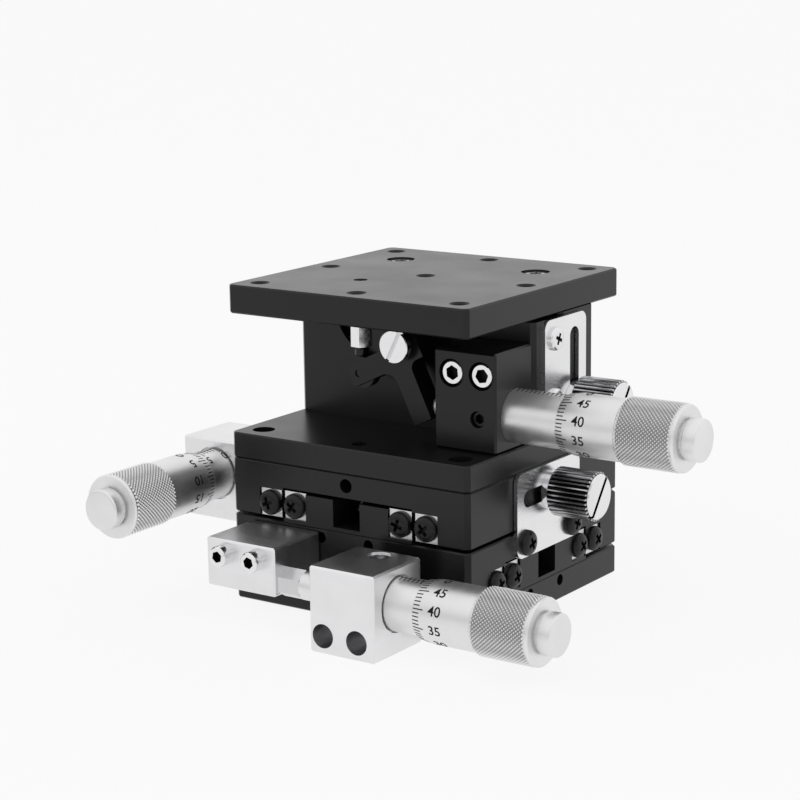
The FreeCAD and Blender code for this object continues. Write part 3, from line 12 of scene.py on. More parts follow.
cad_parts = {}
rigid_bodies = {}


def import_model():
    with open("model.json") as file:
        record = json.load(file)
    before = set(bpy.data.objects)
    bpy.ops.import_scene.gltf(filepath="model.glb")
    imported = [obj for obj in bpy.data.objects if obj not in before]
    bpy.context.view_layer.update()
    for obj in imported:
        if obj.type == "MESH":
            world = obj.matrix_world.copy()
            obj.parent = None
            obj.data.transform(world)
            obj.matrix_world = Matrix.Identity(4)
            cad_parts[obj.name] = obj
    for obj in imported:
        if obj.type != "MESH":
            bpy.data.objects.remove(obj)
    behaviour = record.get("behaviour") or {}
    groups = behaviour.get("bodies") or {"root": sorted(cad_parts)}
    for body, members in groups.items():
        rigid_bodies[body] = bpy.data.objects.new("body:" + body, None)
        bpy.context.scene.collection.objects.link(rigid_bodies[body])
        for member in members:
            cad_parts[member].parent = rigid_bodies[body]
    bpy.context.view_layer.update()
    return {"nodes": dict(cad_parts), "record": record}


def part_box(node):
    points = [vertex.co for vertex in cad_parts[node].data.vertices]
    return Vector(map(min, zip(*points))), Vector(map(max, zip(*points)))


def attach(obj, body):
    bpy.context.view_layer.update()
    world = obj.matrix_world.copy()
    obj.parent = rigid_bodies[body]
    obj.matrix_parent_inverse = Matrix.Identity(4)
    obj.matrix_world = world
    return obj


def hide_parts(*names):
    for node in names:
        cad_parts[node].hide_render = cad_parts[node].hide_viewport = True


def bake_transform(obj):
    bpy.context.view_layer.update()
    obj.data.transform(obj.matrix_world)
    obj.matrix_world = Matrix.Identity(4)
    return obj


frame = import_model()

bl_info = {
    "name": "Translation stage looks",
    "version": (1, 0, 0),
    "blender": (4, 5, 0),
    "location": "3D View > Sidebar > Stage looks",
    "description": "Dresses the frame of an xyz translation stage with finishes, knurls and graduations",
    "category": "Object",
}

MM = 0.001

# Two places or radii closer than these are the same
SAME_PLACE = 1e-6
SAME_RADIUS = 1e-5

# A face is a wall, and not a floor, when less of its normal than this points along x
WALL_NORMAL = 0.5

# Edges sharper than these angles stay sharp
SMOOTH_ANGLE = 30
KNURL_SMOOTH_ANGLE = 22
KNOB_SMOOTH_ANGLE = 25

# Points round each turned piece
BUTTON_POINTS = 72
SLEEVE_POINTS = 96
PAPER_POINTS = 240
CROSS_SCREW_POINTS = 40
RAIL_SCREW_POINTS = 24
SOCKET_SCREW_POINTS = 48
PIVOT_POINTS = 64
STUD_POINTS = 32

# Micrometer heads, measured outwards from the thimble's lip
LIP_RADIUS = 5.95 * MM
LIP_LENGTH = 3.0 * MM
THIMBLE_RADIUS = 6.4 * MM
THIMBLE_BORE = 5.61 * MM
PLAIN_END = 13.4 * MM
THIMBLE_END = 26.6 * MM
CAVITY_END = 24.4 * MM
END_RING = 0.75 * MM
END_CHAMFER = 0.35 * MM
ROOT_STEP = 0.2 * MM
KNURL_RADIUS = 6.95 * MM
CAP_RADIUS = 4.3 * MM
CAP_NECK_RADIUS = 3.8 * MM
CAP_NECK_LENGTH = 0.5 * MM
CAP_LENGTH = 3.4 * MM
CAP_ROUND = 0.45 * MM
CAP_ROUND_STEPS = 4

# Sleeves, measured outwards from the block's face
SLEEVE_RADIUS = 5.55 * MM
SLEEVE_SUNK = 1.0 * MM
SLEEVE_LENGTH = 23.0 * MM
SLEEVE_BORE = 3.05 * MM
STEM_RADIUS = 3.8 * MM
SMALL_BREAK = 0.15 * MM

# Each head's turn about z, its holder, and its lengths behind the lip and in the block
HEAD_AXES = {"x": 0.0, "y": -90.0, "z": 0.0}
HEAD_HOLDERS = {"x": "base", "y": "x_stage", "z": "y_stage"}
BLOCK_FACE_BEHIND_LIP = {"x": 7.1 * MM, "y": 7.1 * MM, "z": 12.7 * MM}
STEM_LENGTHS = {"x": 15.7 * MM, "y": 15.7 * MM, "z": 14.8 * MM}

# Graduations: a long sleeve line and half a numeral's width are shares of their neighbours' sizes
THIMBLE_DIVISIONS = 50
THIMBLE_LINE_INSET = 0.12 * MM
SLEEVE_GRADUATIONS = 13
SLEEVE_ZERO_PLACE = 0.6 * MM
NUMBERED_EACH = 5
LONG_SLEEVE_LINE = 1.6
HALF_NUMERAL = 0.27
LINE_CUTS = 2
NUMERAL_SLICE = 0.25 * MM
PAINT_STAND_OFF = 0.012 * MM
PAINT_THICKNESS = 0.02 * MM

# Cross-head screws: the shares of the dome and the recess are of the head's height and radius
PAN_RADIUS = 2.7 * MM
PAN_HEIGHT = 1.7 * MM
PAN_FLAT = 0.3
PAN_SHANK_RADIUS = 1.5 * MM
PAN_SHANK_LENGTH = 6.0 * MM
LOW_HEAD_RADIUS = 2.5 * MM
LOW_HEAD_HEIGHT = 1.1 * MM
LOW_HEAD_FLAT = 0.4
DOME_STEPS = 5
DOME_FALL = 0.6
CROSS_REACH = 0.66
CROSS_WIDTH = 0.34
CROSS_DEPTH = 0.62
CROSS_TAPER = (0.7, 0.55)
CROSS_WALLS = (0.3, 0.93)
CROSS_FLOOR_MARGIN = 0.02

# Rail screws
RAIL_HEAD_RADIUS = 1.9 * MM
RAIL_HEAD_HEIGHT = 1.9 * MM
RAIL_SHANK_RADIUS = 1.0 * MM
RAIL_SHANK_LENGTH = 7.0 * MM
RAIL_SOCKET_RADIUS = 0.9 * MM

# Socket screws: a head and a shank are (radius, length), a socket is (flats, depth)
SMALL_HEAD = (2.2 * MM, 2.5 * MM)
ANVIL_SHANK = (1.25 * MM, 20.5 * MM)
SMALL_SOCKET = (2.2 * MM, 1.5 * MM)
ANVIL_SCREW_TURN = 25
BLOCK_HEAD = (2.65 * MM, 2.7 * MM)
BLOCK_SHANK = (1.5 * MM, 13.9 * MM)
BLOCK_SOCKET = (2.7 * MM, 1.8 * MM)
BLOCK_TURNS = (15, 50)
CLAMP_HEAD = (1.7 * MM, 2.6 * MM)
CLAMP_SHANK = (1.6 * MM, 0.2 * MM)
CLAMP_SOCKET = (1.9 * MM, 1.8 * MM)
CLAMP_PLACE = (25.1 * MM, -15.5 * MM, 43.4 * MM)
CLAMP_TURN = 10

# The rim of a socket screw, as shares of its radius and of itself, and the knurl on its side
RIM_SHARE = 0.09
RIM_FALL = 0.4
RIM_INSET = 1.6
HEAD_KNURL_SHARE = 0.965

# How far a socket's faces reach, as shares of its depth and flats
SOCKET_REACH = 1.01
SOCKET_FLOOR = 0.9
SOCKET_HALF_WIDTH = 0.56

# The lever's pivot screw
PIVOT_HEAD_RADIUS = 3.5 * MM
PIVOT_HEAD_HEIGHT = 1.4 * MM
PIVOT_SHAFT_RADIUS = 2.0 * MM
PIVOT_THREAD_RADIUS = 1.5 * MM
PIVOT_THREAD_LENGTH = 3.6 * MM
PIVOT_SLOT_TURN = 63

# A screwdriver's slot in the pivot screw or a knob
SLOT_WIDTH = 0.9 * MM
SLOT_DEPTH = 0.9 * MM

# The post under the platform, measured downwards from its stud's top
ANVIL_FLATS = 4.1 * MM
ANVIL_BEVEL = 0.45 * MM
ANVIL_STUD_RADIUS = 1.5 * MM
ANVIL_STUD_LENGTH = 5.5 * MM
ANVIL_TIP_LENGTH = 1.5 * MM
ANVIL_TURN = 37

# Lock knobs, measured outwards from the lock plate, with so many points to a rib
KNOB_RADIUS = 5.2 * MM
KNOB_LENGTH = 10.0 * MM
KNOB_BEVEL = 0.6 * MM
KNOB_FACE_RADIUS = 4.55 * MM
KNOB_COLLAR_RADIUS = 4.0 * MM
KNOB_COLLAR_LENGTH = 1.7 * MM
KNOB_STEM_RADIUS = 1.5 * MM
KNOB_STEM_LENGTH = 6.7 * MM
KNOB_SLOT_TURN = 53
RIB_POINTS = 4

# Each layer's rails: the lines of their end screws and own screws, the seat and the way those point
LAYER_PITCH = 12.4 * MM
LAYER_RAILS = {
    "fixed": (13.35 * MM, 12.8 * MM, 11.0 * MM, 1),
    "moving": (19.75 * MM, 20.3 * MM, 9.0 * MM, -1),
}
RAIL_END = 29.6 * MM
RAIL_LEVEL = 10.0 * MM
RAIL_SCREW_REACH = 19.733 * MM
COLUMN_SCREW_LINE = 20.3 * MM
COLUMN_SCREW_PLANE = 3.0 * MM
COLUMN_SCREW_LEVELS = (40.917 * MM, 56.983 * MM)

# The lock plates' screws
PLATE_SEAT = 31.0 * MM
PLATE_SCREW_LEVEL = 4.0 * MM
PLATE_SCREW_SHIFT = -0.7 * MM
PLATE_SCREW_REACH = 9.1 * MM
LIFT_PLATE_SCREW_LINE = 1.5 * MM
LIFT_PLATE_SCREW_LEVELS = (44.3 * MM, 57.3 * MM)

# Turns of the cross recesses, so that no two neighbours stand alike
RECESS_TURNS = (20, 65, 38, 80, 52, 8, 72, 30)

# The springs' loops, and the bodies that hold their two pins
SPRING_LOOP = 3.5 * MM
SPRING_BODIES = (("x", "base", "x_stage"), ("y", "x_stage", "y_stage"), ("z", "y_stage", "lift_carriage"))

# How a finish's grain is drawn out along the three axes
EVEN = (1, 1, 1)
MILLED_X = (0.12, 1, 1)
MILLED_Y = (1, 0.12, 1)
TURNED_X = (1, 0.02, 0.02)
TURNED_Y = (0.02, 1, 0.02)
GROUND = (1, 0.15, 0.15)
ROLLED = (1, 0.06, 1)
DRAWN = (0.1, 0.1, 1)

# Where a noise value counts as its lowest and its highest
NOISE_REACH = (0.3, 0.7)
RELIEF_REACH = (0.1, 0.75)

# Painted shade: how much of the metal's colour is left in the valleys of a knurl and of a knob's ribs
KNURL_PAINTED_SHADE_SHARE = 0.62
RIB_PAINTED_SHADE_SHARE = 0.02
SOCKET_SHADE_SHARE = 0.5

# The camera, solved from the photograph's edges
CAMERA_PLACE = (0.263093, -0.386445, 0.144313)
CAMERA_YAW = 0.610123898
CAMERA_PITCH = 0.217235285
CAMERA_ROLL = -0.0139492683
CAMERA_LENS = 100.266
CAMERA_SENSOR = 36.0
CAMERA_NEAR = 0.01

# The studio: its floor, its white, the sky's dimmer band low in front, and its lamps
FLOOR_SIDE = 60.0
BACKGROUND = (1.0, 1.0, 1.0, 1.0)
WHITE_SHARE = 0.88
BAND_LEVEL = 0.5
BAND_TOP = 0.5
BAND_SIDES = (-0.5, 0.1)
KEY_PLACE = (-0.35, -0.55, 0.85)
KEY_AIM = (0, 0, 0.03)
KEY_SIZE = 0.9
FILL_PLACE = (0.8, -0.1, 0.55)
FILL_AIM = (0, 0, 0.04)
FILL_SIZE = 0.7


class HeadSettings(bpy.types.PropertyGroup):
    """Sizes of the micrometer heads' and knobs' knurls and of the graduations."""
    knurl_teeth: bpy.props.IntProperty(
        name="Knurl diamonds", description="Diamonds round the thimble", default=52, min=12, max=90)
    knurl_rows: bpy.props.IntProperty(
        name="Knurl rows", description="Half rows of diamonds along the thimble", default=28, min=8, max=60)
    knurl_depth: bpy.props.FloatProperty(
        name="Knurl depth", description="Height of a diamond over its valleys", default=0.42 * MM,
        min=0.0, unit="LENGTH")
    knob_ribs: bpy.props.IntProperty(
        name="Knob ribs", description="Ribs round a lock knob", default=32, min=12, max=60)
    knob_depth: bpy.props.FloatProperty(
        name="Rib depth", description="Depth of a lock knob's knurl", default=0.6 * MM, unit="LENGTH")
    tick_width: bpy.props.FloatProperty(
        name="Line width", description="Width of a graduation line", default=0.23 * MM, unit="LENGTH")
    short_tick: bpy.props.FloatProperty(
        name="Short line", description="Length of a thimble division line", default=1.6 * MM, unit="LENGTH")
    long_tick: bpy.props.FloatProperty(
        name="Long line", description="Length of each fifth thimble line", default=2.6 * MM, unit="LENGTH")
    numeral_size: bpy.props.FloatProperty(
        name="Numeral size", description="Type size of the thimble's numbers", default=2.9 * MM,
        unit="LENGTH")
    numeral_weight: bpy.props.FloatProperty(
        name="Numeral weight", description="How far the strokes are thickened", default=0.03 * MM,
        unit="LENGTH")
    numeral_start: bpy.props.FloatProperty(
        name="Numeral place", description="From the lip to a number", default=3.9 * MM, unit="LENGTH")
    sleeve_tick: bpy.props.FloatProperty(
        name="Sleeve line", description="Length of a millimetre line on the sleeve", default=1.3 * MM,
        unit="LENGTH")
    sleeve_numeral_size: bpy.props.FloatProperty(
        name="Sleeve numeral size", description="Type size of the sleeve's numbers", default=2.6 * MM,
        unit="LENGTH")


class FinishSettings(bpy.types.PropertyGroup):
    """Colours of the stage's finishes."""
    black: bpy.props.FloatVectorProperty(
        name="Anodising", description="Colour of the black plates", subtype="COLOR", size=3,
        default=(0.007, 0.007, 0.0075), min=0.0, max=1.0)
    silver: bpy.props.FloatVectorProperty(
        name="Blocks", description="Colour of the micrometer and anvil blocks", subtype="COLOR", size=3,
        default=(0.80, 0.80, 0.81), min=0.0, max=1.0)
    chrome: bpy.props.FloatVectorProperty(
        name="Heads", description="Colour of the micrometer heads", subtype="COLOR", size=3,
        default=(0.80, 0.80, 0.80), min=0.0, max=1.0)
    steel: bpy.props.FloatVectorProperty(
        name="Steel", description="Colour of ground and plated steel", subtype="COLOR", size=3,
        default=(0.62, 0.62, 0.63), min=0.0, max=1.0)
    paint: bpy.props.FloatVectorProperty(
        name="Graduations", description="Colour of the lines and numbers", subtype="COLOR", size=3,
        default=(0.006, 0.006, 0.006), min=0.0, max=1.0)


class StudioSettings(bpy.types.PropertyGroup):
    """The floor and the lamps."""
    floor: bpy.props.FloatVectorProperty(
        name="Floor", description="Colour of the floor", subtype="COLOR", size=3,
        default=(0.93, 0.93, 0.93), min=0.0, max=1.0)
    key_power: bpy.props.FloatProperty(
        name="Key lamp", description="Power of the large lamp", default=1.0, min=0.0, unit="POWER")
    fill_power: bpy.props.FloatProperty(
        name="Fill lamp", description="Power of the lamp on the right", default=0.4, min=0.0, unit="POWER")
    sky: bpy.props.FloatProperty(
        name="Sky", description="Strength of the light from all round", default=0.62, min=0.0)


def clear_selection():
    """Leaves edit mode with nothing selected."""
    if bpy.context.mode != "OBJECT":
        bpy.ops.object.mode_set(mode="OBJECT")
    bpy.ops.object.select_all(action="DESELECT")


def activate(piece):
    """Makes one piece the selected and active one."""
    clear_selection()
    piece.select_set(True)
    bpy.context.view_layer.objects.active = piece


def rename(piece, name):
    """Gives a piece and its mesh one name."""
    piece.name = name
    piece.data.name = name
    return piece


def keep_place():
    """Moves the active piece's place from its object into its mesh."""
    bpy.ops.object.transform_apply(location=True, rotation=True, scale=True)


def from_axis(place):
    """How far a place lies from the x axis."""
    return math.hypot(place.y, place.z)


def sector(place, count):
    """Which of a number of even steps round x a place stands on."""
    return round(math.atan2(place.z, place.y) / (2 * math.pi) * count)


def on_ring(place, rings):
    """True for a place that lies on one of the (place, radius) rings about x."""
    radius = from_axis(place)
    return any(abs(place.x - x) < SAME_PLACE and abs(radius - size) < SAME_RADIUS for x, size in rings)


def start_selecting(piece, kind):
    """Sets edit mode to points or faces, with none selected, and leaves it for the selection."""
    activate(piece)
    bpy.ops.object.mode_set(mode="EDIT")
    bpy.ops.mesh.select_mode(type=kind)
    bpy.ops.mesh.select_all(action="DESELECT")
    bpy.ops.object.mode_set(mode="OBJECT")


def select_points(piece, wanted, *details):
    """Selects the points for which wanted(place, details) is true, and enters edit mode."""
    start_selecting(piece, "VERT")
    for vertex in piece.data.vertices:
        vertex.select = bool(wanted(vertex.co, *details))
    bpy.ops.object.mode_set(mode="EDIT")


def select_faces(piece, wanted, *details):
    """Selects the faces for which wanted(face, details) is true, and enters edit mode."""
    start_selecting(piece, "FACE")
    for face in piece.data.polygons:
        face.select = bool(wanted(face, *details))
    bpy.ops.object.mode_set(mode="EDIT")


def finish_faces(piece, material, wanted, *details):
    """Gives the wanted faces a finish of their own."""
    piece.data.materials.append(material)
    select_faces(piece, wanted, *details)
    piece.active_material_index = len(piece.data.materials) - 1
    bpy.ops.object.material_slot_assign()
    bpy.ops.object.mode_set(mode="OBJECT")


def turned_piece(name, profile, points, tube=False):
    """A body of revolution about x, extruded ring by ring from (place, radius) pairs."""
    place, radius = profile[0]
    clear_selection()
    bpy.ops.mesh.primitive_circle_add(vertices=points, radius=radius, location=(place, 0, 0),
                                      rotation=(0, math.pi / 2, 0))
    piece = rename(bpy.context.object, name)
    keep_place()
    bpy.ops.object.mode_set(mode="EDIT")
    bpy.ops.mesh.select_mode(type="VERT")
    bpy.ops.mesh.select_all(action="SELECT")
    if not tube:
        bpy.ops.mesh.edge_face_add()
    for next_place, next_radius in profile[1:]:
        bpy.ops.mesh.extrude_region_move(TRANSFORM_OT_translate={"value": (next_place - place, 0, 0)})
        scale = next_radius / radius
        bpy.ops.transform.resize(value=(1, scale, scale), center_override=(next_place, 0, 0))
        place, radius = next_place, next_radius
    if tube:
        select_points(piece, on_ring, (profile[0], profile[-1]))
        bpy.ops.mesh.bridge_edge_loops()
    finish_mesh(piece)
    return piece


def finish_mesh(piece, angle=SMOOTH_ANGLE):
    """Faces outwards, smooth but for edges sharper than the angle."""
    activate(piece)
    bpy.ops.object.mode_set(mode="EDIT")
    bpy.ops.mesh.select_all(action="SELECT")
    bpy.ops.mesh.normals_make_consistent(inside=False)
    bpy.ops.object.mode_set(mode="OBJECT")
    bpy.ops.object.shade_smooth_by_angle(angle=math.radians(angle))


def copy_onto(source, name, place):
    """A copy with its own mesh, put in place by a matrix that stays in the mesh."""
    activate(source)
    bpy.ops.object.duplicate(linked=False)
    piece = rename(bpy.context.object, name)
    piece.matrix_world = place @ piece.matrix_world
    keep_place()
    return piece


def swung(piece, turn, rise=0.0):
    """A piece pushed up from x and turned about it, with its place kept in its mesh."""
    activate(piece)
    swing = Matrix.Rotation(math.radians(turn), 4, "X") @ Matrix.Translation((0, 0, rise))
    piece.matrix_world = swing @ piece.matrix_world
    keep_place()
    return piece


def joined(name, pieces):
    """Several pieces joined into one object."""
    clear_selection()
    for piece in pieces:
        piece.select_set(True)
    bpy.context.view_layer.objects.active = pieces[0]
    bpy.ops.object.join()
    return rename(bpy.context.object, name)


def delete(piece):
    """Takes a helper away."""
    activate(piece)
    bpy.ops.object.delete()


def apply_modifiers(piece):
    """Applies every modifier in order."""
    activate(piece)
    for modifier in list(piece.modifiers):
        bpy.ops.object.modifier_apply(modifier=modifier.name)


def cut_out(piece, cutter):
    """Takes a cutter's shape out of a piece and the cutter away."""
    cut = piece.modifiers.new("cut", "BOOLEAN")
    cut.operation = "DIFFERENCE"
    cut.solver = "EXACT"
    cut.object = cutter
    apply_modifiers(piece)
    delete(cutter)


def bar_cutter(middle, size):
    """A bar of a given size about a place on x."""
    clear_selection()
    bpy.ops.mesh.primitive_cube_add(size=1, location=(middle, 0, 0))
    bar = bpy.context.object
    bpy.ops.object.mode_set(mode="EDIT")
    bpy.ops.transform.resize(value=size, center_override=(middle, 0, 0))
    bpy.ops.object.mode_set(mode="OBJECT")
    return bar


def dress(piece, material):
    """Gives a piece one material."""
    piece.data.materials.clear()
    piece.data.materials.append(material)


def hand_over(piece, node, body):
    """Puts a finished piece in its node's stead and the body that it rides on."""
    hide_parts(node)
    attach(piece, body)


def facing(place, direction, turn=0.0):
    """Matrix that points +x along a direction at a place."""
    aim = Vector((1, 0, 0)).rotation_difference(Vector(direction)).to_matrix().to_4x4()
    return Matrix.Translation(place) @ aim @ Matrix.Rotation(math.radians(turn), 4, "X")


def head_place(letter, behind_lip=0.0):
    """Matrix from a head drawn along +x to its axis, with x = 0 at or behind the lip."""
    low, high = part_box(letter + "_thimble")
    middle = (low + high) / 2
    if letter == "y":
        start = Vector((middle.x, high.y + behind_lip, middle.z))
    else:
        start = Vector((low.x - behind_lip, middle.y, middle.z))
    return Matrix.Translation(start) @ Matrix.Rotation(math.radians(HEAD_AXES[letter]), 4, "Z")


def new_material(name):
    """An empty procedural material: its nodes, links and shader."""
    material = bpy.data.materials.new(name)
    material.use_nodes = True
    nodes = material.node_tree.nodes
    return material, nodes, material.node_tree.links, nodes["Principled BSDF"]


def grain(nodes, links, scale, stretch=EVEN, detail=4.0):
    """Noise on Object coordinates, stretched along the axes."""
    place = nodes.new("ShaderNodeTexCoord")
    mapping = nodes.new("ShaderNodeMapping")
    mapping.inputs["Scale"].default_value = stretch
    noise = nodes.new("ShaderNodeTexNoise")
    noise.inputs["Scale"].default_value = scale
    noise.inputs["Detail"].default_value = detail
    links.new(place.outputs["Object"], mapping.inputs["Vector"])
    links.new(mapping.outputs["Vector"], noise.inputs["Vector"])
    return noise.outputs["Fac"]


def brought(nodes, links, value, start, end, low, high, way="LINEAR"):
    """A value brought from one reach, start to end, to another, low to high."""
    reach = nodes.new("ShaderNodeMapRange")
    reach.interpolation_type = way
    reach.inputs["From Min"].default_value = start
    reach.inputs["From Max"].default_value = end
    reach.inputs["To Min"].default_value = low
    reach.inputs["To Max"].default_value = high
    links.new(value, reach.inputs["Value"])
    return reach.outputs["Result"]


def roughen(nodes, links, shader, value, low, high):
    """Roughness that wanders between two limits with a noise value."""
    links.new(brought(nodes, links, value, *NOISE_REACH, low, high), shader.inputs["Roughness"])


def add_bump(nodes, links, shader, value, height, strength):
    """Relief from a noise value."""
    bump = nodes.new("ShaderNodeBump")
    bump.inputs["Distance"].default_value = height
    bump.inputs["Strength"].default_value = strength
    links.new(value, bump.inputs["Height"])
    links.new(bump.outputs["Normal"], shader.inputs["Normal"])


def colour_between(nodes, links, shader, value, reach, low, high):
    """Colour that goes from low to high as a value goes through its reach."""
    ramp = nodes.new("ShaderNodeValToRGB")
    for element, place, colour in zip(ramp.color_ramp.elements, reach, (low, high)):
        element.position = place
        element.color = tuple(colour) + (1,)
    links.new(value, ramp.inputs["Fac"])
    links.new(ramp.outputs["Color"], shader.inputs["Base Color"])


def scaled(colour, share):
    """A colour times a share, no brighter than white."""
    return tuple(min(1.0, c * share) for c in colour)


def tint(nodes, links, shader, value, colour, change):
    """Colour that wanders a little either side of the given one."""
    colour_between(nodes, links, shader, value, NOISE_REACH,
                   scaled(colour, 1 - change), scaled(colour, 1 + change))


def anodised_black(name, colour):
    """Matt black anodising: a fine sand-blasted grain and a faint cloudiness."""
    material, nodes, links, shader = new_material(name)
    shader.inputs["IOR"].default_value = 1.38
    cloud = grain(nodes, links, scale=70.0)
    sand = grain(nodes, links, scale=5200.0, detail=2.0)
    tint(nodes, links, shader, cloud, colour, change=0.18)
    roughen(nodes, links, shader, cloud, low=0.27, high=0.33)
    add_bump(nodes, links, shader, sand, height=0.01 * MM, strength=0.25)
    return material


def satin_metal(name, colour, roughness, stretch, scale=900.0, relief=0.1):
    """Bright metal with fine lines along or round one axis."""
    material, nodes, links, shader = new_material(name)
    shader.inputs["Metallic"].default_value = 1.0
    cloud = grain(nodes, links, scale=110.0)
    lines = grain(nodes, links, scale, stretch, detail=5.0)
    spread = 0.04
    tint(nodes, links, shader, cloud, colour, change=0.03)
    roughen(nodes, links, shader, lines, roughness - spread, roughness + spread)
    add_bump(nodes, links, shader, lines, height=0.006 * MM, strength=relief)
    return material


def knurled_metal(name, colour, painted_shade_share, roughness):
    """Bright metal with painted shade that darkens it in the valleys, as the relief attribute of the piece
    says.
    """
    material, nodes, links, shader = new_material(name)
    shader.inputs["Metallic"].default_value = 1.0
    shader.inputs["Roughness"].default_value = roughness
    fine = grain(nodes, links, scale=1800.0)
    relief = nodes.new("ShaderNodeAttribute")
    relief.attribute_name = "relief"
    colour_between(nodes, links, shader, relief.outputs["Fac"], RELIEF_REACH,
                   scaled(colour, painted_shade_share), colour)
    add_bump(nodes, links, shader, fine, height=0.006 * MM, strength=0.15)
    return material


def oxide_black(name, colour, roughness=0.3):
    """Black oxide on small screws, a little glossier than the plates."""
    material, nodes, links, shader = new_material(name)
    shader.inputs["IOR"].default_value = 1.36
    worn = grain(nodes, links, scale=900.0)
    spread = 0.05
    tint(nodes, links, shader, worn, colour, change=0.35)
    roughen(nodes, links, shader, worn, roughness - spread, roughness + spread)
    add_bump(nodes, links, shader, worn, height=0.01 * MM, strength=0.2)
    return material


def mark_paint(name, colour):
    """Black paint in the engraved lines, slightly uneven."""
    material, nodes, links, shader = new_material(name)
    shader.inputs["IOR"].default_value = 1.3
    speckle = grain(nodes, links, scale=6000.0)
    tint(nodes, links, shader, speckle, colour, change=0.4)
    roughen(nodes, links, shader, speckle, low=0.5, high=0.65)
    return material


def finishes():
    """The finishes by name, made once."""
    if "turned_x" in bpy.data.materials:
        return {material.name: material for material in bpy.data.materials}
    looks = bpy.context.scene.stage_finishes
    black = tuple(looks.black)
    steel = tuple(looks.steel)
    chrome = tuple(looks.chrome)
    silver = tuple(looks.silver)
    made = [
        anodised_black("black_anodised", black),
        satin_metal("milled_silver", silver, roughness=0.34, stretch=MILLED_X),
        satin_metal("milled_silver_y", silver, roughness=0.34, stretch=MILLED_Y),
        satin_metal("turned_x", chrome, roughness=0.4, stretch=TURNED_X, scale=2600.0, relief=0.03),
        satin_metal("turned_y", chrome, roughness=0.4, stretch=TURNED_Y, scale=2600.0, relief=0.03),
        # The thimbles' knurl gets painted shade in its valleys
        knurled_metal("knurled", chrome, KNURL_PAINTED_SHADE_SHARE, roughness=0.3),
        # Nearly black painted shade in the valleys of the knobs' ribs
        knurled_metal("knob_ribs", steel, RIB_PAINTED_SHADE_SHARE, roughness=0.2),
        satin_metal("ground_steel", steel, roughness=0.22, stretch=GROUND),
        satin_metal("sheet_satin", silver, roughness=0.25, stretch=ROLLED),
        satin_metal("plated_screw", silver, roughness=0.2, stretch=EVEN, scale=1500.0),
        satin_metal("spring_wire", steel, roughness=0.25, stretch=DRAWN),
        oxide_black("black_oxide", black),
        oxide_black("bearing_black", black, roughness=0.12),
        oxide_black("socket_shade", scaled(black, SOCKET_SHADE_SHARE), roughness=0.5),
        mark_paint("mark_paint", tuple(looks.paint)),
    ]
    return {material.name: material for material in made}


def turned_finish(letter):
    """The turned finish whose lines run round a head's axis."""
    return finishes()["turned_y" if letter == "y" else "turned_x"]


# The finish of each slot's nodes, and of the nodes that differ from their slot
SLOT_FINISHES = {
    "black_aluminium": "black_anodised",
    "satin_aluminium": "milled_silver",
    "bearing_steel": "ground_steel",
    "satin_chrome": "turned_x",
    "steel_screws": "plated_screw",
    "steel_knob": "plated_screw",
    "lever_steel": "black_anodised",
    "black_steel": "black_oxide",
    "sheet_steel": "sheet_satin",
    "spring_steel": "spring_wire",
}
OWN_FINISHES = {
    "y_thimble_cap": "turned_y",
    "y_micrometer_block": "milled_silver_y",
    "y_anvil_block": "milled_silver_y",
    "y_spindle": "turned_y",
    "x_spindle": "turned_x",
    "z_spindle": "turned_x",
    "lever_roller": "bearing_black",
    "lever_pivot_bush": "black_oxide",
}


class StagePiece:
    """What the piece operators share."""
    bl_options = {"REGISTER", "UNDO"}


class STAGE_OT_finishes(StagePiece, bpy.types.Operator):
    """Gives every CAD node its finish"""
    bl_idname = "stage_looks.finishes"
    bl_label = "Finishes"

    def execute(self, context):
        made = finishes()
        for subpart in frame["record"]["subparts"]:
            node = subpart["node"]
            finish = OWN_FINISHES.get(node, SLOT_FINISHES[subpart["material_slot"]])
            dress(frame["nodes"][node], made[finish])
        return {"FINISHED"}


def note_relief(piece, low, high, start, end):
    """Writes how far each point of a stretch stands between two radii, for the painted shade in the valleys.
    """
    relief = piece.data.attributes.new("relief", "FLOAT", "POINT")
    for vertex in piece.data.vertices:
        radius = from_axis(vertex.co)
        inside = start < vertex.co.x < end
        share = (radius - low) / (high - low) if inside and radius < high else 1.0
        relief.data[vertex.index].value = min(1.0, max(0.0, share))


def knurl_band(sizes):
    """Where a thimble's knurl starts and ends, the length of half a row and the valley's radius."""
    start = PLAIN_END + ROOT_STEP
    end = THIMBLE_END - END_RING
    return start, end, (end - start) / sizes.knurl_rows, KNURL_RADIUS - sizes.knurl_depth


def raise_diamonds(thimble, sizes):
    """Lifts every second point of the band, and turns the quads between them into diamonds."""
    start, end, row, valley = knurl_band(sizes)

    def in_band(place):
        return (start - SAME_PLACE < place.x < end + SAME_PLACE
                and from_axis(place) > valley - SMALL_BREAK)

    def is_crest(place):
        inside = in_band(place) and start + row / 2 < place.x < end - row / 2
        step = sector(place, 2 * sizes.knurl_teeth) + round((place.x - start) / row)
        return inside and step % 2 == 0

    select_points(thimble, is_crest)
    growth = KNURL_RADIUS / valley
    bpy.ops.transform.resize(value=(1, growth, growth), center_override=(0, 0, 0))
    select_points(thimble, in_band)
    bpy.ops.mesh.select_mode(type="FACE")
    bpy.ops.mesh.quads_convert_to_tris(quad_method="SHORTEST_DIAGONAL", ngon_method="BEAUTY")
    finish_mesh(thimble, KNURL_SMOOTH_ANGLE)
    note_relief(thimble, valley, KNURL_RADIUS, start + row / 2, end - row / 2)


def on_knurl(face, to_drawing, start, end, radius):
    """True for a face of the knurl, once it is brought back from its head to the drawn thimble."""
    place = to_drawing @ face.center
    return start < place.x < end and from_axis(place) > radius


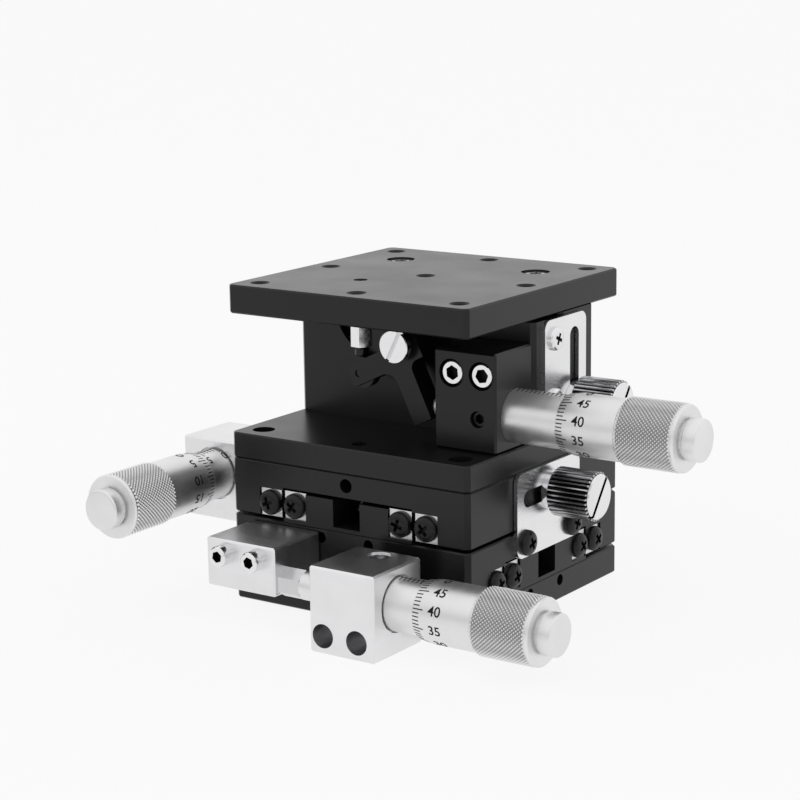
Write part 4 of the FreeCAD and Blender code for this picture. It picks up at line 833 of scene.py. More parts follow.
class STAGE_OT_thimbles(StagePiece, bpy.types.Operator):
    """Models the knurled thimble and copies it onto the three heads"""
    bl_idname = "stage_looks.thimbles"
    bl_label = "Thimbles"

    def execute(self, context):
        sizes = context.scene.stage_heads
        start, end, row, valley = knurl_band(sizes)
        rim = KNURL_RADIUS - SMALL_BREAK
        profile = [(CAVITY_END, THIMBLE_BORE), (SMALL_BREAK, THIMBLE_BORE), (0.0, THIMBLE_BORE + SMALL_BREAK),
                   (0.0, LIP_RADIUS), (LIP_LENGTH, THIMBLE_RADIUS), (PLAIN_END, THIMBLE_RADIUS)]
        profile += [(start + i * row, valley) for i in range(sizes.knurl_rows + 1)]
        profile += [(end + ROOT_STEP, rim), (THIMBLE_END - END_CHAMFER, rim),
                    (THIMBLE_END, rim - END_CHAMFER), (THIMBLE_END, CAP_NECK_RADIUS)]
        thimble = turned_piece("thimble", profile, 2 * sizes.knurl_teeth)
        raise_diamonds(thimble, sizes)
        for letter in HEAD_AXES:
            place = head_place(letter)
            piece = copy_onto(thimble, letter + "_thimble_knurled", place)
            dress(piece, turned_finish(letter))
            # The knurl's faces take the finish with painted shade in their valleys
            finish_faces(piece, finishes()["knurled"], on_knurl, place.inverted(), start, end,
                         valley - SMALL_BREAK)
            hand_over(piece, letter + "_thimble", letter + "_thimble_body")
        delete(thimble)
        return {"FINISHED"}


class STAGE_OT_caps(StagePiece, bpy.types.Operator):
    """Models the button on a thimble's end and copies it"""
    bl_idname = "stage_looks.caps"
    bl_label = "Buttons"

    def execute(self, context):
        start = THIMBLE_END
        end = THIMBLE_END + CAP_LENGTH
        shoulder = start + CAP_NECK_LENGTH
        profile = [(CAVITY_END, CAP_NECK_RADIUS / 2), (start, CAP_NECK_RADIUS / 2), (start, CAP_NECK_RADIUS),
                   (shoulder, CAP_NECK_RADIUS), (shoulder, CAP_RADIUS - SMALL_BREAK),
                   (shoulder + SMALL_BREAK, CAP_RADIUS)]
        for i in range(CAP_ROUND_STEPS + 1):
            angle = math.radians(90 * i / CAP_ROUND_STEPS)
            profile.append((end - CAP_ROUND + CAP_ROUND * math.sin(angle),
                            CAP_RADIUS - CAP_ROUND + CAP_ROUND * math.cos(angle)))
        cap = turned_piece("cap", profile, BUTTON_POINTS)
        for letter in HEAD_AXES:
            piece = copy_onto(cap, letter + "_button", head_place(letter))
            dress(piece, turned_finish(letter))
            hand_over(piece, letter + "_thimble_cap", letter + "_thimble_body")
        delete(cap)
        return {"FINISHED"}


class STAGE_OT_sleeves(StagePiece, bpy.types.Operator):
    """Models each head's sleeve with its stem"""
    bl_idname = "stage_looks.sleeves"
    bl_label = "Sleeves"

    def execute(self, context):
        for letter, holder in HEAD_HOLDERS.items():
            stem_end = -STEM_LENGTHS[letter]
            profile = [(SLEEVE_LENGTH, SLEEVE_BORE), (SLEEVE_LENGTH, SLEEVE_RADIUS - SMALL_BREAK),
                       (SLEEVE_LENGTH - SMALL_BREAK, SLEEVE_RADIUS), (-SLEEVE_SUNK, SLEEVE_RADIUS),
                       (-SLEEVE_SUNK, STEM_RADIUS), (stem_end, STEM_RADIUS), (stem_end, SLEEVE_BORE)]
            sleeve = turned_piece("sleeve", profile, SLEEVE_POINTS, tube=True)
            place = head_place(letter, BLOCK_FACE_BEHIND_LIP[letter])
            piece = copy_onto(sleeve, letter + "_sleeve_turned", place)
            delete(sleeve)
            dress(piece, turned_finish(letter))
            hand_over(piece, letter + "_sleeve", holder)
        return {"FINISHED"}


def line_mark(place, along, across, radius, turn):
    """One graduation line: its centre along x, its two sizes, its radius and its turn about x."""
    clear_selection()
    bpy.ops.mesh.primitive_plane_add(size=1, location=(place, 0, 0))
    mark = bpy.context.object
    bpy.ops.object.mode_set(mode="EDIT")
    bpy.ops.transform.resize(value=(along, across, 1), center_override=(place, 0, 0))
    bpy.ops.mesh.subdivide(number_cuts=LINE_CUTS)
    bpy.ops.object.mode_set(mode="OBJECT")
    return swung(mark, -turn, radius)


def number_mark(number, place, size, weight, radius, turn):
    """One number that reads outwards along x, in slices that can bend round the head."""
    clear_selection()
    bpy.ops.object.text_add(location=(place, 0, 0))
    text = bpy.context.object.data
    text.body = str(number)
    text.size = size
    text.offset = weight
    text.align_y = "CENTER"
    bpy.ops.object.convert(target="MESH")
    mark = bpy.context.object
    bpy.ops.object.mode_set(mode="EDIT")
    slices = round(size / 2 / NUMERAL_SLICE)
    for i in range(-slices, slices + 1):
        bpy.ops.mesh.select_all(action="SELECT")
        bpy.ops.mesh.bisect(plane_co=(place, i * NUMERAL_SLICE, 0), plane_no=(0, 1, 0))
    bpy.ops.object.mode_set(mode="OBJECT")
    return swung(mark, -turn, radius)


def wrapped(name, marks, profile):
    """Marks joined, laid on a turned surface and given a film's thickness."""
    piece = joined(name, marks)
    surface = turned_piece("surface", profile, PAPER_POINTS)
    wrap = piece.modifiers.new("wrap", "SHRINKWRAP")
    wrap.target = surface
    wrap.wrap_method = "NEAREST_SURFACEPOINT"
    wrap.wrap_mode = "ON_SURFACE"
    wrap.offset = PAINT_STAND_OFF
    film = piece.modifiers.new("film", "SOLIDIFY")
    film.thickness = PAINT_THICKNESS
    film.offset = 0.0
    apply_modifiers(piece)
    delete(surface)
    return piece


def copy_marks(drawn, name, place, body):
    """Painted marks copied onto a head, with the body that they ride on."""
    piece = copy_onto(drawn, name, place)
    dress(piece, finishes()["mark_paint"])
    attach(piece, body)


class STAGE_OT_thimble_marks(StagePiece, bpy.types.Operator):
    """Draws the fifty divisions and their numbers on the thimbles"""
    bl_idname = "stage_looks.thimble_marks"
    bl_label = "Thimble graduations"

    def execute(self, context):
        sizes = context.scene.stage_heads
        step = 360 / THIMBLE_DIVISIONS
        marks = []
        for division in range(THIMBLE_DIVISIONS):
            length = sizes.short_tick if division % NUMBERED_EACH else sizes.long_tick
            marks.append(line_mark(THIMBLE_LINE_INSET + length / 2, length, sizes.tick_width,
                                   THIMBLE_RADIUS, division * step))
        for division in range(0, THIMBLE_DIVISIONS, NUMBERED_EACH):
            marks.append(number_mark(division, sizes.numeral_start, sizes.numeral_size,
                                     sizes.numeral_weight, THIMBLE_RADIUS, division * step))
        profile = [(0.0, LIP_RADIUS), (LIP_LENGTH, THIMBLE_RADIUS), (PLAIN_END, THIMBLE_RADIUS)]
        drawn = wrapped("thimble_marks", marks, profile)
        for letter in HEAD_AXES:
            copy_marks(drawn, letter + "_thimble_marks", head_place(letter), letter + "_thimble_body")
        delete(drawn)
        return {"FINISHED"}


class STAGE_OT_sleeve_marks(StagePiece, bpy.types.Operator):
    """Draws the millimetre scale on the sleeves"""
    bl_idname = "stage_looks.sleeve_marks"
    bl_label = "Sleeve scales"

    def execute(self, context):
        sizes = context.scene.stage_heads
        degrees_per_metre = math.degrees(1 / SLEEVE_RADIUS)
        length = SLEEVE_GRADUATIONS * MM
        long_tick = sizes.sleeve_tick * LONG_SLEEVE_LINE
        marks = [line_mark(SLEEVE_ZERO_PLACE + length / 2, length, sizes.tick_width, SLEEVE_RADIUS, 0)]
        for half in range(2 * SLEEVE_GRADUATIONS + 1):
            tick = sizes.sleeve_tick if half % (2 * NUMBERED_EACH) else long_tick
            side = -1 if half % 2 else 1
            marks.append(line_mark(SLEEVE_ZERO_PLACE + half * MM / 2, sizes.tick_width, tick,
                                   SLEEVE_RADIUS, side * tick / 2 * degrees_per_metre))
        turn = (long_tick + sizes.sleeve_numeral_size / 2) * degrees_per_metre
        for reading in range(0, SLEEVE_GRADUATIONS, NUMBERED_EACH):
            place = SLEEVE_ZERO_PLACE + reading * MM - sizes.sleeve_numeral_size * HALF_NUMERAL
            marks.append(number_mark(reading, place, sizes.sleeve_numeral_size, sizes.numeral_weight,
                                     SLEEVE_RADIUS, turn))
        profile = [(-SLEEVE_SUNK, SLEEVE_RADIUS), (SLEEVE_LENGTH, SLEEVE_RADIUS)]
        drawn = wrapped("sleeve_marks", marks, profile)
        for letter, holder in HEAD_HOLDERS.items():
            place = head_place(letter, BLOCK_FACE_BEHIND_LIP[letter])
            copy_marks(drawn, letter + "_sleeve_marks", place, holder)
        delete(drawn)
        return {"FINISHED"}


def in_lower_half(place):
    """True for the inner end of a cutting bar."""
    return place.x < 0


def cut_cross(screw, radius, height):
    """Cuts a tapered cross into a screw's head with two bars."""
    depth = height * CROSS_DEPTH
    for turn in (0, 90):
        arm = bar_cutter(height, (2 * depth, radius * CROSS_WIDTH, 2 * radius * CROSS_REACH))
        select_points(arm, in_lower_half)
        bpy.ops.transform.resize(value=(1, *CROSS_TAPER), center_override=(height - depth, 0, 0))
        bpy.ops.object.mode_set(mode="OBJECT")
        cut_out(screw, swung(arm, turn))


def in_cross(face, radius, height):
    """True for the walls and the floor of a cross recess."""
    low, high = CROSS_WALLS
    wall = (height * low < face.center.x < height * high and from_axis(face.center) < radius * CROSS_REACH
            and abs(face.normal.x) < WALL_NORMAL)
    return wall or abs(face.center.x - height * (1 - CROSS_DEPTH)) < height * CROSS_FLOOR_MARGIN


def cross_screw(name, radius, height, flat, finish):
    """A screw along +x with a domed head, its seat at x = 0, and a cross recess."""
    shoulder = height * flat
    profile = [(-PAN_SHANK_LENGTH, PAN_SHANK_RADIUS - SMALL_BREAK),
               (-PAN_SHANK_LENGTH + SMALL_BREAK, PAN_SHANK_RADIUS), (0, PAN_SHANK_RADIUS), (0, radius),
               (shoulder, radius)]
    for i in range(1, DOME_STEPS + 1):
        angle = math.radians(90 * i / (DOME_STEPS + 1))
        profile.append((shoulder + (height - shoulder) * math.sin(angle),
                        radius * math.cos(angle) ** DOME_FALL))
    screw = turned_piece(name, profile, CROSS_SCREW_POINTS)
    cut_cross(screw, radius, height)
    finish_mesh(screw)
    dress(screw, finishes()[finish])
    finish_faces(screw, finishes()["socket_shade"], in_cross, radius, height)
    return screw


def rail_screw(name):
    """A rail's fixing screw along +x with a round-bottomed socket."""
    profile = [(-RAIL_SHANK_LENGTH, RAIL_SHANK_RADIUS), (0, RAIL_SHANK_RADIUS), (0, RAIL_HEAD_RADIUS),
               (RAIL_HEAD_HEIGHT - SMALL_BREAK, RAIL_HEAD_RADIUS),
               (RAIL_HEAD_HEIGHT, RAIL_HEAD_RADIUS - SMALL_BREAK), (RAIL_HEAD_HEIGHT, RAIL_SOCKET_RADIUS),
               (RAIL_HEAD_HEIGHT / 2, RAIL_SOCKET_RADIUS)]
    screw = turned_piece(name, profile, RAIL_SCREW_POINTS)
    dress(screw, finishes()["black_oxide"])
    return screw


def layer_places(layer, upper):
    """Places and directions of the end screws and rail screws of one side of one stage."""
    line, screw_line, seat, upward = LAYER_RAILS[layer]
    rise = LAYER_PITCH if upper else 0.0
    corners = [(side, end) for side in (-1, 1) for end in (-1, 1)]
    pans = [((side * line, end * RAIL_END, RAIL_LEVEL + rise), (0, end, 0)) for side, end in corners]
    rails = [((side * screw_line, end * RAIL_SCREW_REACH, seat + rise), (0, 0, upward))
             for side, end in corners]
    if layer == "fixed":
        pans += [((PLATE_SEAT, PLATE_SCREW_SHIFT + end * PLATE_SCREW_REACH, PLATE_SCREW_LEVEL + rise),
                  (1, 0, 0)) for end in (-1, 1)]
    if upper:
        return pans, rails
    return [quarter_turned(*pan) for pan in pans], [quarter_turned(*rail) for rail in rails]


def quarter_turned(place, direction):
    """A place and direction of the Y stage's layer brought to the X stage."""
    return (-place[1], place[0], place[2]), (-direction[1], direction[0], direction[2])


class STAGE_OT_cross_screws(StagePiece, bpy.types.Operator):
    """Models the black cross-head screws and the rails' own screws"""
    bl_idname = "stage_looks.cross_screws"
    bl_label = "Black screws"

    def execute(self, context):
        pan = cross_screw("pan", PAN_RADIUS, PAN_HEIGHT, PAN_FLAT, "black_oxide")
        small = rail_screw("rail_screw")
        fixed_x, fixed_y = layer_places("fixed", False), layer_places("fixed", True)
        moving_x, moving_y = layer_places("moving", False), layer_places("moving", True)
        column = [((side * COLUMN_SCREW_LINE, COLUMN_SCREW_PLANE, level), (0, 1, 0))
                  for side in (-1, 1) for level in COLUMN_SCREW_LEVELS]
        sets = {
            ("base_screws", "base"): (fixed_x[0], fixed_x[1]),
            ("x_table_screws", "x_stage"): (moving_x[0] + fixed_y[0], moving_x[1] + fixed_y[1]),
            ("y_table_screws", "y_stage"): (moving_y[0], moving_y[1] + column),
        }
        for (node, body), (pans, rails) in sets.items():
            pieces = []
            for i, (place, direction) in enumerate(pans):
                turn = RECESS_TURNS[i % len(RECESS_TURNS)]
                pieces.append(copy_onto(pan, "one", facing(place, direction, turn)))
            for place, direction in rails:
                pieces.append(copy_onto(small, "one", facing(place, direction)))
            hand_over(joined(node + "_recessed", pieces), node, body)
        delete(pan)
        delete(small)
        return {"FINISHED"}


class STAGE_OT_plate_screws(StagePiece, bpy.types.Operator):
    """Models the bright cross-head screws of the lift's lock plate"""
    bl_idname = "stage_looks.plate_screws"
    bl_label = "Lock plate screws"

    def execute(self, context):
        low = cross_screw("low", LOW_HEAD_RADIUS, LOW_HEAD_HEIGHT, LOW_HEAD_FLAT, "plated_screw")
        pieces = []
        for turn, level in zip(RECESS_TURNS, LIFT_PLATE_SCREW_LEVELS):
            place = (PLATE_SEAT, LIFT_PLATE_SCREW_LINE, level)
            pieces.append(copy_onto(low, "one", facing(place, (1, 0, 0), turn)))
        hand_over(joined("z_lock_plate_screws_recessed", pieces), "z_lock_plate_screws",
                  "y_stage")
        delete(low)
        return {"FINISHED"}


def hexagon_cutter(flats, start, end, turn):
    """A hexagonal bar along x that cuts a socket."""
    clear_selection()
    radius = flats / 2 / math.cos(math.pi / 6)
    bpy.ops.mesh.primitive_cylinder_add(vertices=6, radius=radius, depth=end - start,
                                        location=((start + end) / 2, 0, 0), rotation=(0, math.pi / 2, 0))
    return swung(bpy.context.object, turn)


def on_tooth_gap(place, rings, count):
    """True for every second of the points round some rings."""
    return on_ring(place, rings) and sector(place, count) % 2 == 0


def in_socket(face, height, flats, depth):
    """True for the walls and the floor of a socket."""
    x = face.center.x
    within = height - SOCKET_REACH * depth < x and from_axis(face.center) < SOCKET_HALF_WIDTH * flats
    return within and (abs(face.normal.x) < WALL_NORMAL or x < height - SOCKET_FLOOR * depth)


def socket_screw(name, head, shank, socket, finish, knurled_head=False):
    """A socket screw along +x with its seat at x = 0."""
    radius, height = head
    shank_radius, shank_length = shank
    flats, depth = socket
    rim = radius * RIM_SHARE
    profile = [(-shank_length, shank_radius), (0, shank_radius), (0, radius), (height - 2 * rim, radius),
               (height - rim, radius - rim * RIM_FALL), (height, radius - RIM_INSET * rim)]
    screw = turned_piece(name, profile, SOCKET_SCREW_POINTS)
    if knurled_head:
        select_points(screw, on_tooth_gap, profile[2:4], SOCKET_SCREW_POINTS)
        bpy.ops.transform.resize(value=(1, HEAD_KNURL_SHARE, HEAD_KNURL_SHARE), center_override=(0, 0, 0))
    cut_out(screw, hexagon_cutter(flats, height - depth, height + MM, RECESS_TURNS[0]))
    finish_mesh(screw)
    dress(screw, finishes()[finish])
    finish_faces(screw, finishes()["socket_shade"], in_socket, height, flats, depth)
    return screw


class STAGE_OT_socket_screws(StagePiece, bpy.types.Operator):
    """Models the socket screws of the anvil blocks and of the lift's micrometer block"""
    bl_idname = "stage_looks.socket_screws"
    bl_label = "Socket screws"

    def execute(self, context):
        anvil = socket_screw("anvil", SMALL_HEAD, ANVIL_SHANK, SMALL_SOCKET, "plated_screw", True)
        radius, head_height = SMALL_HEAD
        for letter in ("x", "y"):
            low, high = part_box(letter + "_anvil_screws")
            level = (low.z + high.z) / 2
            pieces = []
            for i, (end, side) in enumerate(((low, radius), (high, -radius))):
                if letter == "x":
                    place, direction = (end.x + side, low.y + head_height, level), (0, -1, 0)
                else:
                    place, direction = (low.x + head_height, end.y + side, level), (-1, 0, 0)
                pieces.append(copy_onto(anvil, "one", facing(place, direction, i * ANVIL_SCREW_TURN)))
            hand_over(joined(letter + "_anvil_screws_socketed", pieces), letter + "_anvil_screws",
                      letter + "_stage")
        delete(anvil)
        block = socket_screw("block", BLOCK_HEAD, BLOCK_SHANK, BLOCK_SOCKET, "plated_screw")
        clamp = socket_screw("clamp", CLAMP_HEAD, CLAMP_SHANK, CLAMP_SOCKET, "black_oxide")
        low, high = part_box("z_block_screws")
        radius, head_height = BLOCK_HEAD
        pieces = []
        for x, turn in zip((low.x + radius, high.x - radius), BLOCK_TURNS):
            place = (x, low.y + head_height, high.z - radius)
            pieces.append(copy_onto(block, "one", facing(place, (0, -1, 0), turn)))
        pieces.append(copy_onto(clamp, "one", facing(CLAMP_PLACE, (0, -1, 0), CLAMP_TURN)))
        hand_over(joined("z_block_screws_socketed", pieces), "z_block_screws", "y_stage")
        delete(block)
        delete(clamp)
        return {"FINISHED"}


def cut_slot(screw, reach, top, turn):
    """Cuts a screwdriver slot down -x from the top."""
    cut_out(screw, swung(bar_cutter(top, (2 * SLOT_DEPTH, 2 * reach, SLOT_WIDTH)), turn))


class STAGE_OT_knobs(StagePiece, bpy.types.Operator):
    """Models the straight-knurled lock knob and copies it"""
    bl_idname = "stage_looks.knobs"
    bl_label = "Lock knobs"

    def execute(self, context):
        sizes = context.scene.stage_heads
        start = KNOB_COLLAR_LENGTH
        end = start + KNOB_LENGTH
        points = RIB_POINTS * sizes.knob_ribs
        valley = KNOB_RADIUS - sizes.knob_depth

        def in_groove(place):
            outside = from_axis(place) > KNOB_RADIUS - SMALL_BREAK / 10
            return outside and sector(place, points) % RIB_POINTS < RIB_POINTS / 2

        def is_plain(face):
            x = face.center.x
            on_end = x > end - KNOB_BEVEL / 3 and abs(face.normal.x) > WALL_NORMAL
            return x < start - SMALL_BREAK / 2 or on_end

        profile = [(-KNOB_STEM_LENGTH, KNOB_STEM_RADIUS), (0, KNOB_STEM_RADIUS), (0, KNOB_COLLAR_RADIUS),
                   (start, KNOB_COLLAR_RADIUS), (start, valley), (start + KNOB_BEVEL / 2, KNOB_RADIUS),
                   (end - KNOB_BEVEL, KNOB_RADIUS), (end - KNOB_BEVEL / 2, valley + KNOB_BEVEL / 4),
                   (end, KNOB_FACE_RADIUS)]
        knob = turned_piece("knob", profile, points)
        select_points(knob, in_groove)
        share = valley / KNOB_RADIUS
        bpy.ops.transform.resize(value=(1, share, share), center_override=(0, 0, 0))
        bpy.ops.object.mode_set(mode="OBJECT")
        cut_slot(knob, 2 * KNOB_RADIUS, end, KNOB_SLOT_TURN)
        finish_mesh(knob, KNOB_SMOOTH_ANGLE)
        # The ribs' valleys get nearly black painted shade from the relief attribute
        note_relief(knob, valley, KNOB_RADIUS, start, end - KNOB_BEVEL / 4)
        dress(knob, finishes()["knob_ribs"])
        finish_faces(knob, finishes()["plated_screw"], is_plain)
        for letter in ("x", "y", "z"):
            low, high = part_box(letter + "_lock_knob")
            middle = (low + high) / 2
            if letter == "x":
                place, direction = (middle.x, high.y - end, middle.z), (0, 1, 0)
            else:
                place, direction = (high.x - end, middle.y, middle.z), (1, 0, 0)
            piece = copy_onto(knob, letter + "_lock_knob_ribbed", facing(place, direction))
            hand_over(piece, letter + "_lock_knob", letter + "_lock")
        delete(knob)
        return {"FINISHED"}


class STAGE_OT_pivot_screw(StagePiece, bpy.types.Operator):
    """Models the slotted screw that the lever turns on"""
    bl_idname = "stage_looks.pivot_screw"
    bl_label = "Pivot screw"

    def execute(self, context):
        low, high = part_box("lever_pivot_screw")
        middle = (low + high) / 2
        thread_start = low.y - high.y + PIVOT_HEAD_HEIGHT
        thread_end = thread_start + PIVOT_THREAD_LENGTH
        profile = [(thread_start, PIVOT_THREAD_RADIUS), (thread_end, PIVOT_THREAD_RADIUS),
                   (thread_end, PIVOT_SHAFT_RADIUS), (0, PIVOT_SHAFT_RADIUS), (0, PIVOT_HEAD_RADIUS),
                   (PIVOT_HEAD_HEIGHT - SMALL_BREAK, PIVOT_HEAD_RADIUS),
                   (PIVOT_HEAD_HEIGHT, PIVOT_HEAD_RADIUS - SMALL_BREAK)]
        screw = turned_piece("pivot", profile, PIVOT_POINTS)
        cut_slot(screw, 2 * PIVOT_HEAD_RADIUS, PIVOT_HEAD_HEIGHT, PIVOT_SLOT_TURN)
        finish_mesh(screw)
        place = facing((middle.x, low.y + PIVOT_HEAD_HEIGHT, middle.z), (0, -1, 0))
        piece = copy_onto(screw, "lever_pivot_screw_slotted", place)
        delete(screw)
        dress(piece, finishes()["plated_screw"])
        hand_over(piece, "lever_pivot_screw", "y_stage")
        return {"FINISHED"}


class STAGE_OT_lift_anvil(StagePiece, bpy.types.Operator):
    """Models the hexagonal post under the platform with its hardened tip"""
    bl_idname = "stage_looks.lift_anvil"
    bl_label = "Lift anvil"

    def execute(self, context):
        low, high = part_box("lift_anvil")
        middle = (low + high) / 2
        reach = high.z - low.z
        bar_end = reach - ANVIL_TIP_LENGTH
        corner = ANVIL_FLATS / 2 / math.cos(math.pi / 6)
        bar = turned_piece("bar", [(ANVIL_STUD_LENGTH, corner), (bar_end - ANVIL_BEVEL, corner),
                                   (bar_end, corner - ANVIL_BEVEL)], 6)
        stud = turned_piece("stud", [(0, ANVIL_STUD_RADIUS),
                                     (ANVIL_STUD_LENGTH + ANVIL_BEVEL, ANVIL_STUD_RADIUS)], STUD_POINTS)
        tip = turned_piece("tip", [(bar_end - ANVIL_BEVEL, ANVIL_STUD_RADIUS),
                                   (reach - SMALL_BREAK, ANVIL_STUD_RADIUS),
                                   (reach, ANVIL_STUD_RADIUS - SMALL_BREAK)], STUD_POINTS)
        made = finishes()
        dress(bar, made["plated_screw"])
        dress(stud, made["plated_screw"])
        # The tip's black oxide is partly painted shade, standing in for the shade under the hex
        dress(tip, made["bearing_black"])
        whole = joined("post", [bar, stud, tip])
        place = facing((middle.x, middle.y, high.z), (0, 0, -1), ANVIL_TURN)
        piece = copy_onto(whole, "lift_anvil_hexagonal", place)
        delete(whole)
        hand_over(piece, "lift_anvil", "lift_carriage")
        return {"FINISHED"}


class STAGE_OT_springs(StagePiece, bpy.types.Operator):
    """Copies each return spring as a smoothed piece in spring wire, in its node's stead"""
    bl_idname = "stage_looks.springs"
    bl_label = "Return springs"

    def execute(self, context):
        for letter, fixed, moving in SPRING_BODIES:
            node = letter + "_return_spring"
            piece = copy_onto(frame["nodes"][node], node + "_stretching", Matrix.Identity(4))
            bpy.ops.object.parent_clear(type="CLEAR_KEEP_TRANSFORM")
            bpy.ops.object.mode_set(mode="EDIT")
            bpy.ops.mesh.select_all(action="SELECT")
            bpy.ops.mesh.remove_doubles(threshold=SAME_PLACE)
            bpy.ops.object.mode_set(mode="OBJECT")
            finish_mesh(piece)
            dress(piece, finishes()["spring_wire"])
            low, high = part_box(node)
            first, last = (high, low) if letter == "x" else (low, high)
            axis = "xyz".index(letter)
            start = (low + high) / 2
            end = start.copy()
            loop = math.copysign(SPRING_LOOP, last[axis] - first[axis])
            start[axis] = first[axis] + loop
            end[axis] = last[axis] - loop
            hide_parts(node)
            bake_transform(piece)
        return {"FINISHED"}


def combined(nodes, links, operation, first, second):
    """Two values put together by a sum, a product or the like, between 0 and 1."""
    step = nodes.new("ShaderNodeMath")
    step.operation = operation
    step.use_clamp = True
    links.new(first, step.inputs[0])
    if isinstance(second, float):
        step.inputs[1].default_value = second
    else:
        links.new(second, step.inputs[1])
    return step.outputs[0]


def seen_or_reflected(nodes, links):
    """1 for what the camera sees, directly, mirrored or through glass."""
    rays = nodes.new("ShaderNodeLightPath").outputs
    seen = combined(nodes, links, "ADD", rays["Is Camera Ray"], rays["Is Glossy Ray"])
    return combined(nodes, links, "ADD", seen, rays["Is Transmission Ray"])


def floor_material(colour):
    """Pale floor with a faint grain, which turns white where it is seen and keeps its shadow."""
    material, nodes, links, shader = new_material("studio_floor")
    shader.inputs["Roughness"].default_value = 0.9
    shader.inputs["Specular IOR Level"].default_value = 0.1
    tint(nodes, links, shader, grain(nodes, links, scale=6.0), colour, change=0.004)
    white = nodes.new("ShaderNodeEmission")
    white.inputs["Color"].default_value = BACKGROUND
    white.inputs["Strength"].default_value = 1.0
    mixed = nodes.new("ShaderNodeMixShader")
    share = combined(nodes, links, "MULTIPLY", seen_or_reflected(nodes, links), WHITE_SHARE)
    links.new(share, mixed.inputs["Fac"])
    links.new(shader.outputs["BSDF"], mixed.inputs[1])
    links.new(white.outputs["Emission"], mixed.inputs[2])
    links.new(mixed.outputs["Shader"], nodes["Material Output"].inputs["Surface"])
    return material


def add_lamp(name, place, aim, size, power):
    """A square lamp that looks at a point."""
    clear_selection()
    bpy.ops.object.light_add(type="AREA", location=place)
    lamp = bpy.context.object
    lamp.name = name
    lamp.data.shape = "SQUARE"
    lamp.data.size = size
    lamp.data.energy = power
    lamp.visible_glossy = False
    lamp.rotation_euler = (Vector(aim) - Vector(place)).to_track_quat("-Z", "Y").to_euler()


def light_world(strength):
    """White where it is seen or reflected, with a softer band low in front, and dimmer as light."""
    world = bpy.data.worlds.new("studio_sky")
    world.use_nodes = True
    bpy.context.scene.world = world
    nodes = world.node_tree.nodes
    links = world.node_tree.links
    backdrop = nodes["Background"]
    backdrop.inputs["Color"].default_value = BACKGROUND
    place = nodes.new("ShaderNodeTexCoord")
    parts = nodes.new("ShaderNodeSeparateXYZ")
    links.new(place.outputs["Generated"], parts.inputs["Vector"])
    height = brought(nodes, links, parts.outputs["Z"], 0.0, BAND_TOP, BAND_LEVEL, 1.0, "SMOOTHSTEP")
    behind = brought(nodes, links, parts.outputs["Y"], *BAND_SIDES, 0.0, 1.0, "SMOOTHSTEP")
    level = nodes.new("ShaderNodeMapRange")
    level.inputs["To Min"].default_value = strength
    links.new(seen_or_reflected(nodes, links), level.inputs["Value"])
    links.new(combined(nodes, links, "MAXIMUM", height, behind), level.inputs["To Max"])
    links.new(level.outputs["Result"], backdrop.inputs["Strength"])


def place_camera():
    """The photograph's viewpoint."""
    ahead = Vector((-math.sin(CAMERA_YAW) * math.cos(CAMERA_PITCH),
                    math.cos(CAMERA_YAW) * math.cos(CAMERA_PITCH), -math.sin(CAMERA_PITCH)))
    level_right = Vector((math.cos(CAMERA_YAW), math.sin(CAMERA_YAW), 0))
    level_up = level_right.cross(ahead)
    right = math.cos(CAMERA_ROLL) * level_right + math.sin(CAMERA_ROLL) * level_up
    up = -math.sin(CAMERA_ROLL) * level_right + math.cos(CAMERA_ROLL) * level_up
    turn = Matrix((right, up, -ahead)).transposed().to_4x4()
    clear_selection()
    bpy.ops.object.camera_add()
    camera = bpy.context.object
    camera.name = "photo_camera"
    camera.matrix_world = Matrix.Translation(CAMERA_PLACE) @ turn
    camera.data.lens = CAMERA_LENS
    camera.data.sensor_width = CAMERA_SENSOR
    camera.data.clip_start = CAMERA_NEAR
    camera.data.clip_end = 2 * FLOOR_SIDE
    bpy.context.scene.camera = camera


class STAGE_OT_studio(bpy.types.Operator):
    """Sets up the floor, the lamps, the sky and the camera"""
    bl_idname = "stage_looks.studio"
    bl_label = "Studio"

    def execute(self, context):
        studio = context.scene.stage_studio
        clear_selection()
        bpy.ops.mesh.primitive_plane_add(size=FLOOR_SIDE, location=(0, 0, 0))
        floor = rename(bpy.context.object, "studio_floor")
        dress(floor, floor_material(tuple(studio.floor)))
        add_lamp("key_lamp", KEY_PLACE, KEY_AIM, KEY_SIZE, studio.key_power)
        add_lamp("fill_lamp", FILL_PLACE, FILL_AIM, FILL_SIZE, studio.fill_power)
        light_world(studio.sky)
        place_camera()
        context.scene.view_settings.view_transform = "Standard"
        return {"FINISHED"}


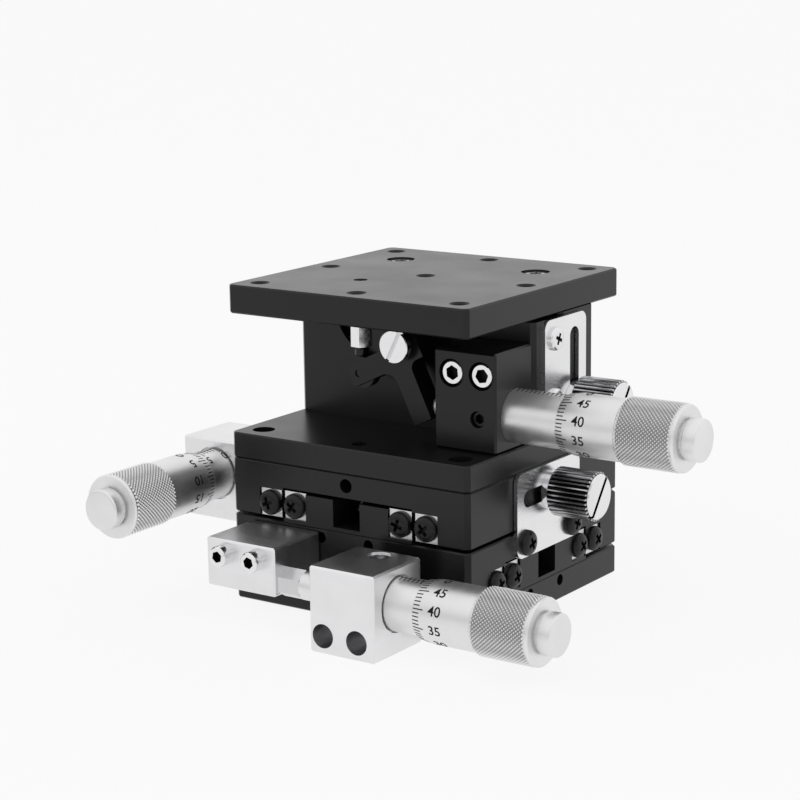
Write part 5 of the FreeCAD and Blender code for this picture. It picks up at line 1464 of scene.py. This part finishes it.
class STAGE_PT_looks(bpy.types.Panel):
    """Lists the stage's pieces and their settings"""
    bl_label = "Stage looks"
    bl_idname = "STAGE_PT_looks"
    bl_space_type = "VIEW_3D"
    bl_region_type = "UI"
    bl_category = "Stage looks"

    def draw(self, context):
        for settings in (context.scene.stage_heads, context.scene.stage_finishes, context.scene.stage_studio):
            column = self.layout.column()
            for name in type(settings).__annotations__:
                column.prop(settings, name)
        for operator in OPERATORS:
            self.layout.operator(operator.bl_idname)


OPERATORS = (STAGE_OT_finishes, STAGE_OT_thimbles, STAGE_OT_caps, STAGE_OT_sleeves, STAGE_OT_thimble_marks,
             STAGE_OT_sleeve_marks, STAGE_OT_cross_screws, STAGE_OT_plate_screws, STAGE_OT_socket_screws,
             STAGE_OT_knobs, STAGE_OT_pivot_screw, STAGE_OT_lift_anvil, STAGE_OT_springs, STAGE_OT_studio)
CLASSES = (HeadSettings, FinishSettings, StudioSettings) + OPERATORS + (STAGE_PT_looks,)


def register():
    """Registers the classes and the scene's settings."""
    for one in CLASSES:
        bpy.utils.register_class(one)
    bpy.types.Scene.stage_heads = bpy.props.PointerProperty(type=HeadSettings)
    bpy.types.Scene.stage_finishes = bpy.props.PointerProperty(type=FinishSettings)
    bpy.types.Scene.stage_studio = bpy.props.PointerProperty(type=StudioSettings)


def unregister():
    """Takes the settings and the classes away."""
    del bpy.types.Scene.stage_heads
    del bpy.types.Scene.stage_finishes
    del bpy.types.Scene.stage_studio
    for one in reversed(CLASSES):
        bpy.utils.unregister_class(one)


def main():
    """Builds every piece in order."""
    register()
    bpy.ops.stage_looks.finishes()
    bpy.ops.stage_looks.thimbles()
    bpy.ops.stage_looks.caps()
    bpy.ops.stage_looks.sleeves()
    bpy.ops.stage_looks.thimble_marks()
    bpy.ops.stage_looks.sleeve_marks()
    bpy.ops.stage_looks.cross_screws()
    bpy.ops.stage_looks.plate_screws()
    bpy.ops.stage_looks.socket_screws()
    bpy.ops.stage_looks.knobs()
    bpy.ops.stage_looks.pivot_screw()
    bpy.ops.stage_looks.lift_anvil()
    bpy.ops.stage_looks.springs()
    bpy.ops.stage_looks.studio()


if __name__ == "__main__":
    main()
